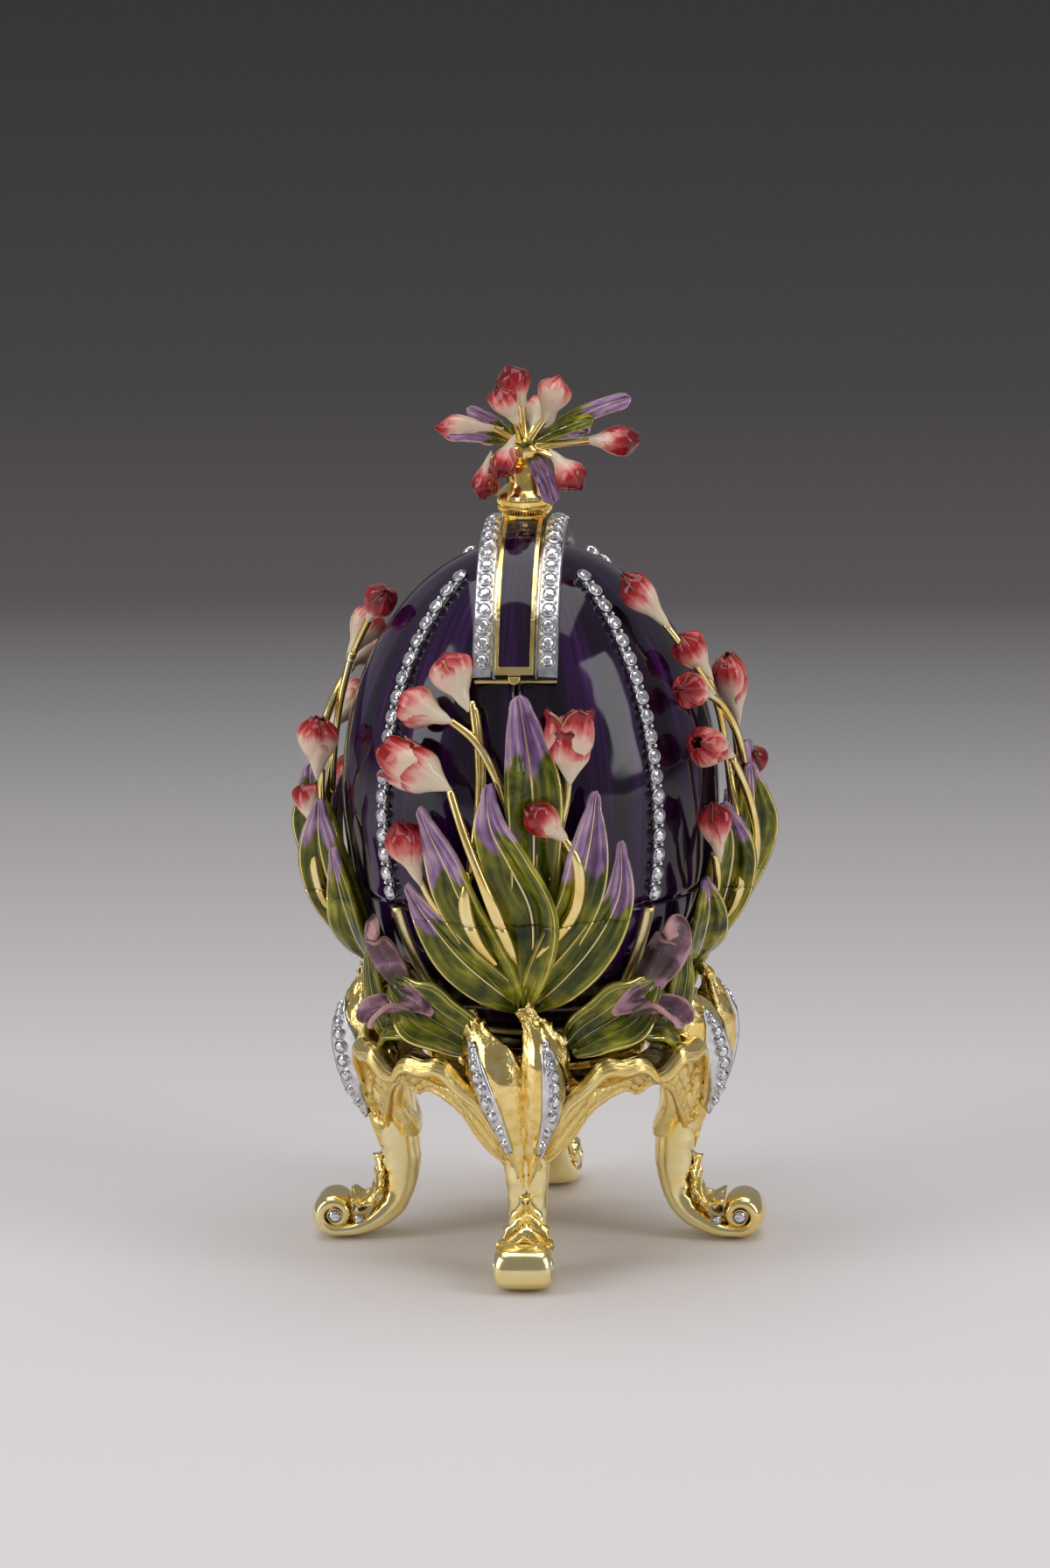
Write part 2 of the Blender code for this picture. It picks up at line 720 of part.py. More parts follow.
def stone(name, point, out, radius, height, sides=5, below=0.2 * MM):
    """A stone with a flat table, sunk a little in its setting."""
    shape = bmesh.new()
    depth = height + below
    bmesh.ops.create_cone(shape, cap_ends=True, segments=sides, radius1=radius, radius2=0.6 * radius,
                          depth=depth)
    turn = Vector((0, 0, 1)).rotation_difference(out).to_matrix().to_4x4()
    middle = Vector(point) + Vector(out) * (depth / 2 - below)
    bmesh.ops.transform(shape, matrix=Matrix.Translation(middle) @ turn, verts=shape.verts)
    return from_bmesh(name, shape, silver)


def merged(name, items):
    """Puts separate stones in one object, ready for a single join."""
    shape = bmesh.new()
    for item in items:
        shape.from_mesh(item.data)
    for item in items:
        bpy.data.objects.remove(item)
    return from_bmesh(name, shape, silver)


def arc_heights(z_from, z_to, pitch):
    """Heights that are evenly spaced along the egg's outline."""
    fine = outline(z_from, z_to, 0.0, 200)
    heights = []
    gone = pitch / 2
    for a, b in zip(fine, fine[1:]):
        gone += (b - a).length
        if gone >= pitch:
            gone -= pitch
            heights.append(b.y)
    return heights


def stone_row(name, azimuth):
    """A silver cup chain down the shell: its stones stand up, and it narrows between them."""
    top = EGG_MIDDLE_Z + EGG_ABOVE
    reach = (STRAP_HALF_WIDTH + ROW_CLEAR) / abs(math.sin(math.radians(azimuth)))
    row_top = EGG_MIDDLE_Z + (top - EGG_MIDDLE_Z) * math.sqrt(1.0 - (reach / EGG_RADIUS) ** 2)
    row_low = door_bottom + GAP
    across = place(azimuth + 90.0, 1.0, 0.0)
    rings = []
    for number, z in enumerate(arc_heights(row_low, row_top, STONE_PITCH / 3)):
        on_stone = number % 3 > 0
        half = (ROW_WIDTH / 2) if on_stone else (ROW_WIDTH / 2 - STONE_NECK)
        table = half - (STONE_BEVEL if on_stone else 0.0)
        height = GAP + ROW_BASE + (STONE_HEIGHT if on_stone else 0.0)
        low = on_egg(azimuth, z, GAP)
        high = on_egg(azimuth, z, height)
        base = [low - across * half, low + across * half]
        rings.append(base + [high + across * table, high - across * table])
    return smooth(loft(name, rings, silver), 20.0)


def strap_stations(z_front, z_back, count):
    """Points over the top in the middle plane, as azimuth and height, from the front to the back."""
    top = EGG_MIDDLE_Z + EGG_ABOVE

    def angle(z):
        return math.asin((z - EGG_MIDDLE_Z) / EGG_ABOVE)

    start = angle(z_front)
    end = math.pi - angle(z_back)
    stations = []
    for i in range(count):
        turn = start + (end - start) * i / (count - 1)
        y = -EGG_RADIUS * math.cos(turn)
        z = EGG_MIDDLE_Z + (top - EGG_MIDDLE_Z) * math.sin(turn)
        out = Vector((0.0, y / EGG_RADIUS**2, (z - EGG_MIDDLE_Z) / EGG_ABOVE**2)).normalized()
        stations.append((Vector((0.0, y, z)), out))
    return stations


def over_top(name, section, z_front, z_back, material, count=15):
    """A section of side and offset, carried over the top of the egg."""
    rings = []
    for point, out in strap_stations(z_front, z_back, count):
        rings.append([point + Vector((x, 0.0, 0.0)) + out * offset for x, offset in section])
    return loft(name, rings, material)


def clasp_rail(name, side):
    """A door's part of the strap: a low step under the bar, and a sloping band that holds stones."""
    inner = BAR_HALF_WIDTH + BAR_CLEARANCE
    near = SPLIT_GAP / 2
    section = [
        (side * near, GAP),
        (side * STRAP_HALF_WIDTH, GAP),
        (side * STRAP_HALF_WIDTH, RAIL_EDGE),
        (side * inner, RAIL_TOP),
        (side * inner, RAIL_STEP),
        (side * near, RAIL_STEP),
    ]
    item = over_top(name, section, STRAP_FRONT_Z, STRAP_BACK_Z, silver)
    middle = (inner + STRAP_HALF_WIDTH) / 2
    slope = math.atan2(RAIL_TOP - RAIL_EDGE, STRAP_HALF_WIDTH - inner)
    fine = strap_stations(STRAP_FRONT_Z, STRAP_BACK_Z, 300)
    stones = []
    gone = RAIL_STONE_PITCH * 0.4
    for (a, _), (b, out) in zip(fine, fine[1:]):
        gone += (b - a).length * (1.0 + RAIL_TOP / EGG_ABOVE)
        if gone >= RAIL_STONE_PITCH:
            gone -= RAIL_STONE_PITCH
            point = b + Vector((side * middle, 0, 0)) + out * ((RAIL_TOP + RAIL_EDGE) / 2)
            lean = (out * math.cos(slope) + Vector((side * math.sin(slope), 0, 0))).normalized()
            stones.append(stone("stone", point, lean, RAIL_STONE_RADIUS, 0.45 * MM))
    combine(item, [merged("stones", stones)], "UNION")
    item.name = name
    return smooth(item, 30.0)


def hinge_leaf(name, side, z_low):
    """A knuckle round the pin, and the curved plate that is soldered to the door at its back."""
    z_high = z_low + DOOR_KNUCKLE
    centre = (0, HINGE_Y, (z_low + z_high) / 2)
    knuckle = cylinder(name, KNUCKLE_RADIUS, DOOR_KNUCKLE, centre, (0, 0, 1), gold)
    inner = EGG_RADIUS + GAP
    outer = inner + HINGE_LEAF_WALL
    start = math.asin(0.9 * MM / outer)
    end = math.asin(HINGE_LEAF_REACH / outer)
    turns = [start + (end - start) * i / 5 for i in range(6)]
    points = [(side * outer * math.sin(t), outer * math.cos(t)) for t in turns]
    points += [(side * inner * math.sin(t), inner * math.cos(t)) for t in reversed(turns)]
    middle = Matrix.Translation((0, 0, (z_low + z_high) / 2))
    combine(knuckle, [plate("leaf", points, DOOR_KNUCKLE / 2, gold, middle)], "UNION")
    hole = cylinder("hole", HINGE_PIN_RADIUS + PIN_CLEARANCE, 2 * DOOR_KNUCKLE, centre, (0, 0, 1),
                    gold, 16, True)
    combine(knuckle, [hole], "DIFFERENCE")
    return smooth(knuckle)


left_knuckle_z = KNUCKLE_BOTTOM + FIXED_KNUCKLE + GAP
right_knuckle_z = left_knuckle_z + DOOR_KNUCKLE + GAP
for side, side_name, parent, knuckle_z in ((-1, "left", left_axis, left_knuckle_z),
                                           (1, "right", right_axis, right_knuckle_z)):
    carry(door_shell(side_name + "_shell", side), parent)
    carry(clasp_rail(side_name + "_clasp_rail", side), parent)
    carry(hinge_leaf(side_name + "_hinge_leaf", side, knuckle_z), parent)
    for row_angle, row_name in zip(ROW_ANGLES, ("front", "back")):
        carry(stone_row(side_name + "_" + row_name + "_stone_row", side * row_angle), parent)


def hinge_spine():
    """The fixed gold spine: a foot on the bowl, a knuckle at each end of the pin, and the clasp's pivot."""
    back = HINGE_Y + KNUCKLE_RADIUS + GAP
    foot_in = outline_point(SPINE_FOOT_Z, GAP)
    foot_top = outline_point(bowl_top - 1.2 * MM, GAP)
    pivot = Vector((clasp_pivot.y, clasp_pivot.z))
    inset = 0.2 * MM
    points = [
        (foot_in.x, foot_in.y),
        (foot_in.x + 2.4 * MM, foot_in.y - 0.6 * MM),
        (foot_top.x + 5.0 * MM, foot_top.y - 1.6 * MM),
        (back + SPINE_WALL, KNUCKLE_BOTTOM + 1.0 * MM),
        (back + SPINE_WALL, knuckle_top + PIN_HEAD_ROOM),
    ]
    for i in range(7):
        turn = math.radians(20.0 + 35.0 * i)
        spoke = Vector((math.cos(turn), math.sin(turn)))
        points.append((pivot + spoke * CLASP_EAR_RADIUS)[:])
    points += [
        (back, knuckle_top + PIN_HEAD_ROOM),
        (back, knuckle_top - inset),
        (HINGE_Y, knuckle_top - inset),
        (HINGE_Y, knuckle_top - FIXED_KNUCKLE + inset),
        (back, knuckle_top - FIXED_KNUCKLE + inset),
        (back, KNUCKLE_BOTTOM + FIXED_KNUCKLE - inset),
        (HINGE_Y, KNUCKLE_BOTTOM + FIXED_KNUCKLE - inset),
        (HINGE_Y, KNUCKLE_BOTTOM + inset),
        (back, KNUCKLE_BOTTOM + inset),
        (foot_top.x + 2.6 * MM, foot_top.y + 0.6 * MM),
        (foot_top.x, foot_top.y),
    ]
    item = plate("hinge_spine", points, SPINE_HALF_WIDTH, gold, meridian(180.0))
    for z in (KNUCKLE_BOTTOM, knuckle_top - FIXED_KNUCKLE):
        centre = (0, HINGE_Y, z + FIXED_KNUCKLE / 2)
        combine(item, [cylinder("knuckle", KNUCKLE_RADIUS, FIXED_KNUCKLE, centre, (0, 0, 1), gold)], "UNION")
    middle = (KNUCKLE_BOTTOM + knuckle_top) / 2
    length = knuckle_top - KNUCKLE_BOTTOM + 2 * PIN_END
    pin_hole = cylinder("pin_hole", HINGE_PIN_RADIUS + PIN_CLEARANCE, length, (0, HINGE_Y, middle),
                        (0, 0, 1), gold, 16, True)
    eye_hole = cylinder("eye_hole", CLASP_PIN_RADIUS + PIN_CLEARANCE, 4 * CLASP_EAR_RADIUS,
                        clasp_pivot, (1, 0, 0), gold, 16, True)
    combine(item, [pin_hole, eye_hole], "DIFFERENCE")
    return smooth(item)


def hinge_pin():
    """The steel pin of both doors, with a button head above the top knuckle."""
    low = KNUCKLE_BOTTOM - 0.4 * MM
    high = knuckle_top + GAP
    middle = (low + high) / 2
    item = cylinder("hinge_pin", HINGE_PIN_RADIUS, high - low, (0, HINGE_Y, middle), (0, 0, 1), dark, 12)
    head_centre = (0, HINGE_Y, high + PIN_HEAD_HEIGHT / 2 - 0.1 * MM)
    head = cylinder("head", KNUCKLE_RADIUS - 0.2 * MM, PIN_HEAD_HEIGHT, head_centre, (0, 0, 1), dark, 12)
    return smooth(combine(item, [head], "UNION"))


def clasp_pin():
    length = 2 * BAR_HALF_WIDTH
    return smooth(cylinder("clasp_pin", CLASP_PIN_RADIUS, length, clasp_pivot, (1, 0, 0), dark, 12))


hinge_spine()
hinge_pin()
clasp_pin()


# clasp bar
bar_back_z = CLASP_PIVOT_Z + 2 * CLASP_EAR_RADIUS


def clasp_bar():
    """A gold strap with a raised border round its enamel, a short keel in front and two ears behind."""
    step = RAIL_STEP + BAR_CLEARANCE
    solid = [
        (-BAR_HALF_WIDTH, step),
        (BAR_HALF_WIDTH, step),
        (BAR_HALF_WIDTH, BAR_TOP),
        (-BAR_HALF_WIDTH, BAR_TOP),
    ]
    inner = BAR_HALF_WIDTH - BAR_BORDER
    groove = [(-inner, BAR_FLOOR), (inner, BAR_FLOOR), (inner, 2 * BAR_TOP), (-inner, 2 * BAR_TOP)]
    item = over_top("clasp_bar", solid, STRAP_FRONT_Z, bar_back_z, gold, BAR_STATIONS)
    channel = over_top("channel", groove, STRAP_FRONT_Z + BAR_END_BORDER, bar_back_z + BAR_END_BORDER, gold,
                       BAR_STATIONS)
    combine(item, [channel], "DIFFERENCE")
    top_pad = cylinder("pad", COLLAR_RADIUS - 0.4 * MM, 1.0 * MM,
                       (0, 0, EGG_MIDDLE_Z + EGG_ABOVE + BAR_TOP - 0.5 * MM), (0, 0, 1), gold, 20)
    trim_half = BAR_HALF_WIDTH - BAR_BORDER / 2
    trim_low = (-trim_half, -COLLAR_RADIUS, EGG_MIDDLE_Z + EGG_ABOVE)
    trim_high = (trim_half, COLLAR_RADIUS, EGG_MIDDLE_Z + EGG_ABOVE + 10 * MM)
    combine(top_pad, [block("trim", trim_low, trim_high, gold)], "INTERSECT")
    combine(item, [top_pad], "UNION")
    back_point, back_out = strap_stations(STRAP_FRONT_Z, bar_back_z, BAR_STATIONS)[-1]
    for side in (-1, 1):
        inside = SPINE_HALF_WIDTH + GAP
        middle = side * (inside + BAR_HALF_WIDTH) / 2
        centre = clasp_pivot + Vector((middle, 0, 0))
        ear = cylinder("ear", CLASP_EAR_RADIUS, BAR_HALF_WIDTH - inside - EAR_STEP, centre, (1, 0, 0), gold)
        joint = back_point + back_out * (BAR_FLOOR - 0.1 * MM) + Vector((middle, 0, 0))
        arm_ring = []
        along = (joint - centre).normalized()
        cross = along.cross(Vector((1, 0, 0)))
        half = (BAR_HALF_WIDTH - inside) / 2 - EAR_STEP
        for base in (centre, joint + along * 1.2 * MM):
            thick = 1.3 * MM if base is centre else 0.85 * MM
            corners = ((-half, -thick), (half, -thick), (half, thick), (-half, thick))
            arm_ring.append([base + Vector((x, 0, 0)) + cross * c for x, c in corners])
        arm = loft("arm", arm_ring, gold)
        combine(item, [ear, arm], "UNION")
    hole = cylinder("hole", CLASP_PIN_RADIUS + PIN_CLEARANCE, 4 * BAR_HALF_WIDTH, clasp_pivot, (1, 0, 0),
                    gold, 16, True)
    combine(item, [hole], "DIFFERENCE")
    item.name = "clasp_bar"
    return smooth(item, 30.0)


def clasp_inlay(name, front_side):
    """The dark enamel that lies in the bar's channel, in front of or behind the collar."""
    half = BAR_HALF_WIDTH - BAR_BORDER - GAP
    low = BAR_FLOOR + GAP
    high = BAR_TOP - INLAY_SUNK
    section = [(-half, low), (half, low), (half, high), (-half, high)]
    inset = BAR_END_BORDER + GAP
    clear = COLLAR_RADIUS + GAP
    rings = []
    for point, out in strap_stations(STRAP_FRONT_Z + inset, bar_back_z + inset, BAR_STATIONS + 2):
        if (point.y < -clear) if front_side else (point.y > clear):
            rings.append([point + Vector((x, 0, 0)) + out * offset for x, offset in section])
    return smooth(loft(name, rings, purple))


carry(clasp_bar(), clasp_axis)
carry(clasp_inlay("clasp_inlay_front", True), clasp_axis)
carry(clasp_inlay("clasp_inlay_back", False), clasp_axis)


# finial
bar_crown = EGG_MIDDLE_Z + EGG_ABOVE + BAR_TOP
collar_low = bar_crown + GAP
cup_low = collar_low + COLLAR_HEIGHT + GAP
cup_high = cup_low + CUP_HEIGHT
hub = Vector((0.0, 0.0, cup_high + HUB_RISE))


def finial_collar():
    """A knurled gold ring on the bar."""
    shape = bmesh.new()
    bmesh.ops.create_cone(shape, cap_ends=True, segments=36, radius1=COLLAR_RADIUS, radius2=COLLAR_RADIUS,
                          depth=COLLAR_HEIGHT)
    for corner in shape.verts:
        turn = math.atan2(corner.co.y, corner.co.x)
        dent = 1.0 - 0.05 * (round(turn / math.pi * 18) % 2)
        corner.co.x *= dent
        corner.co.y *= dent
        corner.co.z += collar_low + COLLAR_HEIGHT / 2
    return smooth(from_bmesh("finial_collar", shape, gold))


def finial_cup():
    """A flared gold cup that the flowers grow from."""
    lip = 0.5 * MM
    profile = [
        (0.0, cup_high - CUP_DEPTH),
        (CUP_RADIUS - lip - 0.8 * MM, cup_high - CUP_DEPTH),
        (CUP_RADIUS - lip, cup_high),
        (CUP_RADIUS, cup_high),
        (CUP_RADIUS, cup_high - lip),
        (CUP_RADIUS - 1.3 * MM, cup_low + 1.0 * MM),
        (CUP_RADIUS - 1.2 * MM, cup_low),
        (0.0, cup_low),
    ]
    return smooth(turned("finial_cup", profile, gold, 24))


finial_flowers = [
    ("finial_tulip_top", -100, 82, 5.4, 8.2, 2.7),
    ("finial_tulip_top_right", 100, 60, 6.2, 7.2, 2.9),
    ("finial_tulip_top_front", -22, 44, 5.4, 7.4, 2.8),
    ("finial_tulip_left", -92, 12, 3.8, 9.4, 2.3),
    ("finial_tulip_right", 86, 8, 10.6, 7.6, 2.5),
    ("finial_tulip_low_right", 55, -22, 4.8, 7.2, 2.7),
    ("finial_tulip_front", -6, 0, 4.4, 6.6, 2.2),
    ("finial_tulip_low_left", -48, -24, 4.9, 7.4, 2.5),
    ("finial_tulip_back", 168, 24, 5.0, 7.4, 2.6),
    ("finial_tulip_back_left", -142, 8, 5.2, 7.2, 2.5),
]
finial_foliage = [
    (95, 27, 18.4, 2.1),
    (-70, 6, 11.4, 1.9),
    (20, -20, 11.2, 2.0),
    (140, 2, 12.0, 2.0),
    (-160, 36, 14.0, 2.1),
]


def aim(azimuth, lift):
    rise = math.radians(lift)
    return place(azimuth, math.cos(rise), math.sin(rise))


def finial():
    """The leaves and stems round a small hub, with sockets for the separate flowers."""
    shape = bmesh.new()
    bmesh.ops.create_uvsphere(shape, u_segments=10, v_segments=6, radius=HUB_RADIUS)
    bmesh.ops.translate(shape, vec=hub, verts=shape.verts)
    item = from_bmesh("finial_leaves", shape, green)
    for azimuth, lift, length, half in finial_foliage:
        way = aim(azimuth, lift) * MM
        up = (Vector((0, 0, 1)) - way * (way.z / way.length_squared)).normalized() * MM
        keys = []
        for share, bend, wide in ((0.05, 0.0, 0.5), (0.35, 0.07, 0.9), (0.7, 0.09, 1.0), (1.0, 0.02, 0.2)):
            point = hub + way * (length * share) + up * (length * bend)
            keys.append((*point, *up, half * wide * MM))
        combine(item, [leaf("blade", keys, green, 5, 2, 0.3)], "UNION")
    flowers = []
    for name, azimuth, lift, start, length, radius in finial_flowers:
        way = aim(azimuth, lift)
        base = hub + way * (start * MM)
        tip = base + way * (length * MM)
        stem = tube("stem", [hub + way * (0.5 * HUB_RADIUS), base + way * 0.4 * MM], 1.0 * MM, green, 1)
        combine(item, [stem], "UNION")
        flowers.append((name, base, tip, radius * MM))
    for name, base, tip, radius in flowers:
        socket = tulip("socket", base, tip, radius, petal, TULIP_CLEARANCE, True)
        combine(item, [socket], "DIFFERENCE")
        carry(smooth(tulip(name, base, tip, radius, petal), 60.0), clasp_axis)
    seat = turned("seat", [(0.0, cup_high + GAP), (CUP_RADIUS + 1 * MM, cup_high + GAP),
                           (CUP_RADIUS + 1 * MM, cup_low), (0.0, cup_low)], gold, 24, True)
    combine(item, [seat], "DIFFERENCE")
    keep_main_body(item)
    stalk_low = cup_high - CUP_DEPTH + GAP
    stalk = cylinder("stalk", CUP_RADIUS - 2.1 * MM, hub.z - stalk_low, (0, 0, (hub.z + stalk_low) / 2),
                     (0, 0, 1), green, 12)
    combine(item, [stalk], "UNION")
    item.name = "finial_leaves"
    return smooth(item, 50.0)


carry(finial_collar(), clasp_axis)
carry(finial_cup(), clasp_axis)
carry(finial(), clasp_axis)


# Sprays: angles from the spray's own middle, heights, and offsets from the egg, all by eye from the object.
spray_leaves = [
    [(1, 46, 1.2, 2.0), (4, 58, 2.2, 3.0), (4, 70, 3.2, 3.6), (4, 79, 4.0, 3.4), (4, 84, 4.4, 2.2),
     (2, 88, 4.6, 0.4)],
    [(-1, 47, 2.4, 1.2), (2, 56, 3.4, 2.8), (1, 62, 4.2, 3.6), (-2, 67, 4.8, 3.4), (-5, 72, 5.0, 2.6),
     (-5, 77, 5.2, 0.4)],
    [(-2, 47, 2.0, 1.2), (-11, 56, 3.0, 2.6), (-17, 63, 4.0, 3.0), (-20, 69, 4.4, 2.6), (-23, 74, 4.6, 0.4)],
    [(-1, 45, 1.6, 1.4), (-9, 48, 2.4, 2.2), (-18, 52, 3.2, 2.6), (-25, 57, 3.8, 2.0), (-29, 62, 4.2, 0.4)],
    [(3, 47, 2.0, 1.2), (12, 56, 3.0, 2.6), (17, 63, 4.0, 3.0), (18, 71, 4.4, 2.4), (19, 76, 4.6, 0.4)],
    [(5, 45, 1.8, 1.4), (18, 51, 3.0, 2.4), (26, 58, 3.8, 2.4), (28, 64, 4.2, 1.8), (26, 69, 4.4, 0.4)],
]
spray_pad = [
    (44, 2.0, -5, 5),
    (48, 2.2, -12, 10),
    (52, 2.7, -20, 17),
    (56, 3.1, -25, 22),
    (59, 3.3, -25, 22),
    (61.5, 3.5, -16, 14),
]


def beside_strap(z, clear):
    """The angle from the front at which a point at this height clears the strap's edge."""
    return math.degrees(math.asin((STRAP_HALF_WIDTH + clear) / egg_radius(z * MM)))


spray_stems = [
    [(-beside_strap(87.4, 0.2 * MM), 87.4, 3.2), (-11, 82, 2.6), (-10, 76, 2.4), (-11, 70, 3.4), (-12, 65, 4.6), (-11, 59, 4.2),
     (-8, 54, 3.4)],
    [(-beside_strap(85.0, 2.6 * MM), 85, 3.2), (-11, 83, 3.0), (-5, 79, 3.4), (-1, 74, 3.4)],
    [(-17, 77, 3.8), (-13, 73, 4.4), (-8, 68, 5.0), (-3, 63, 5.0), (-1, 57, 4.0), (-1, 52, 3.4)],
    [(-27, 64.5, 4.0), (-23, 60, 3.8), (-17, 56, 3.0)],
    [(13, 70.5, 4.2), (16, 66, 4.6), (16, 61, 4.4), (9, 55, 3.4)],
    [(15, 78, 3.4), (13, 73, 3.2), (9, 66, 2.8)],
]
spray_tulips = [
    ((-beside_strap(87.4, 0.2 * MM), 87.4, 3.4), (-beside_strap(92.4, 3.3 * MM), 92.4, 3.8), 2.8),
    ((-beside_strap(85.2, 2.6 * MM), 85.2, 3.6), (-beside_strap(86.6, 9.0 * MM), 86.6, 3.8), 2.9),
    ((-18, 77.4, 4.2), (-37, 80.4, 4.2), 3.4),
    ((-27, 64.4, 4.4), (-32, 72.0, 4.4), 2.9),
    ((13, 70.4, 4.3), (3, 75.0, 4.4), 2.5),
    ((15, 78.0, 3.9), (16.5, 85.4, 4.6), 3.2),
]
top_stem = [(-13, 84, 3.0), (-22, 90, 3.2), (-27, 94.8, 3.2)]
top_tulip = ((-27, 94.8, 3.4), (-34, 101.0, 3.6), 2.7)


def key_point(azimuth, key):
    return on_egg(azimuth + key[0], key[1] * MM, key[2] * MM)


def spray(name, azimuth, with_top, own_tulips):
    """A brazed spray of leaves and stems on a solder pad, cut at the seam into its door and bowl halves."""
    rings = []
    for z, offset, start, end in spray_pad:
        turns = [start + (end - start) * i / 5 for i in range(6)]
        outer = [on_egg(azimuth + t, z * MM, offset * MM) for t in turns]
        backs = [OVERHANG if own_tulips and t > -2 else 1.2 * GAP for t in turns]
        inner = [on_egg(azimuth + t, z * MM, back) for t, back in zip(turns, backs)]
        rings.append(outer + inner[::-1])
    item = loft(name, rings, green)
    for keys in spray_leaves:
        points = [(*key_point(azimuth, k), *outward(azimuth + k[0], k[1] * MM), k[3] * MM) for k in keys]
        combine(item, [leaf("blade", points, green)], "UNION")
    stems = spray_stems + ([top_stem] if with_top else [])
    for keys in stems:
        route = [key_point(azimuth, k) for k in keys]
        combine(item, [tube("stem", route, STEM_RADIUS, green, 1)], "UNION")
    flowers = spray_tulips + ([top_tulip] if with_top else [])
    made = []
    for number, (base, tip, radius) in enumerate(flowers):
        base = key_point(azimuth, base)
        tip = key_point(azimuth, tip)
        if own_tulips:
            socket = tulip("socket", base, tip, radius * MM, petal, TULIP_CLEARANCE, True)
            combine(item, [socket], "DIFFERENCE")
            flower = tulip(name + "_tulip_" + str(number + 1), base, tip, radius * MM, petal)
            made.append(smooth(flower, 60.0))
        else:
            deeper = base + (base - tip).normalized() * 0.6 * MM
            combine(item, [tulip("flower", deeper, tip, radius * MM, petal)], "UNION")
    return item, made


def split_at_seam(item, name):
    """Gives the door's half of a spray, and the bowl's half as its own object."""
    wide = 3 * EGG_RADIUS
    lower = add(name + "_leaf_base", item.data.copy(), green)
    above = block("above", (-wide, -wide, bowl_top), (wide, wide, 2 * wide), green)
    below = block("below", (-wide, -wide, -wide), (wide, wide, door_bottom), green)
    combine(lower, [above], "DIFFERENCE")
    combine(item, [below], "DIFFERENCE")
    keep_main_body(lower)
    keep_main_body(item)
    item.name = name + "_spray"
    return smooth(item, 50.0), smooth(lower, 50.0)


front, front_flowers = spray("front", 0.0, False, True)
front_door, front_bowl = split_at_seam(front, "front")
carry(front_door, left_axis)
for flower in front_flowers:
    carry(flower, left_axis)

# both side sprays are one casting, so the left one is the right one turned half round
whole, none = spray("side", 90.0, True, False)
turned_copy = add("turned", whole.data.copy(), green)
turned_copy.data.transform(Matrix.Rotation(math.pi, 4, "Z"))
for casting, side_name, parent in ((turned_copy, "left", left_axis), (whole, "right", right_axis)):
    upper, lower = split_at_seam(casting, side_name)
    carry(upper, parent)

bpy.context.view_layer.update()
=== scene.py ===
import math

import bmesh
import bpy
from mathutils import Matrix, Vector, noise


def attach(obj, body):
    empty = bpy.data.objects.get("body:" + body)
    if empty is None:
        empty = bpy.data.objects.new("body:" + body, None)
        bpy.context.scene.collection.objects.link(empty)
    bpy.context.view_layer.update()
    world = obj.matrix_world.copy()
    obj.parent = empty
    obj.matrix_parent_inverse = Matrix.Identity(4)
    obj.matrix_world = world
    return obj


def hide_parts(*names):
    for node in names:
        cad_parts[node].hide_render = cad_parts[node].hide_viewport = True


# Egg trinket box: enamel, gilding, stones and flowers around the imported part.
# Lengths in the dictionaries are in millimetres, angles in degrees from the front towards +X.
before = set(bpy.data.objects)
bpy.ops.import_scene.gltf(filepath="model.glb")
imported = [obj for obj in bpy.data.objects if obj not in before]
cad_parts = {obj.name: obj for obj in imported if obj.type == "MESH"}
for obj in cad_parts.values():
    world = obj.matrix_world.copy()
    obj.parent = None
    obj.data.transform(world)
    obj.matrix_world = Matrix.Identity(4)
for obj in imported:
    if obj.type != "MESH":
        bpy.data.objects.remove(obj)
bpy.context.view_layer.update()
mm = 0.001
upward = Vector((0, 0, 1))

egg = {"radius": 28.4, "middle": 69.5, "below": 38.5, "above": 38.0, "wall": 1.4, "seam": 56.0,
       "seamGap": 0.06}


# measuring helpers
def place(azimuth, reach, height):
    turn = math.radians(azimuth)
    return Vector((reach * math.sin(turn), -reach * math.cos(turn), height))


def axes(azimuth):
    # the ways out from the middle and across, seen from that side
    return place(azimuth, 1.0, 0.0), place(azimuth + 90.0, 1.0, 0.0)


def eggHalf(z):
    return egg["above"] if z > egg["middle"] else egg["below"]


def eggRadius(z):
    level = min(1.0, abs(z - egg["middle"]) / eggHalf(z))
    return egg["radius"] * math.sqrt(1.0 - level * level)


def eggOut(azimuth, z):
    reach = eggRadius(z) / egg["radius"] ** 2
    rise = (z - egg["middle"]) / eggHalf(z) ** 2
    return place(azimuth, reach, rise).normalized()


def onEgg(azimuth, z, offset):
    return (place(azimuth, eggRadius(z), z) + eggOut(azimuth, z) * offset) * mm


def smoothBetween(keys, t):
    # a smooth curve through the keys, which are tuples of equal length
    last = len(keys) - 1
    t = min(max(t, 0.0), 1.0) * last
    i = min(int(t), last - 1)
    u = t - i
    value = []
    for p, q, r, s in zip(keys[max(i - 1, 0)], keys[i], keys[i + 1], keys[min(i + 2, last)]):
        bend = (2 * p - 5 * q + 4 * r - s) * u * u + (3 * q - p - 3 * r + s) * u ** 3
        value.append(0.5 * (2 * q + (r - p) * u + bend))
    return value


def bump(x, middle, width):
    return math.exp(-((x - middle) / width) ** 2)


def ease(x, low, high):
    t = min(max((x - low) / (high - low), 0.0), 1.0)
    return t * t * (3.0 - 2.0 * t)


def bluntEnd(v, start):
    # the share of the width that is left where a leaf rounds off
    past = max(0.0, (v - start) / (1.0 - start))
    return math.sqrt(max(0.0, 1.0 - past * past))


def ripple(point, scale, amount):
    return noise.noise(Vector(point) * scale) * amount


def cornerOf(section, u):
    # the corner of a closed outline for a column of a grid
    return section[int(round(u * len(section))) % len(section)]


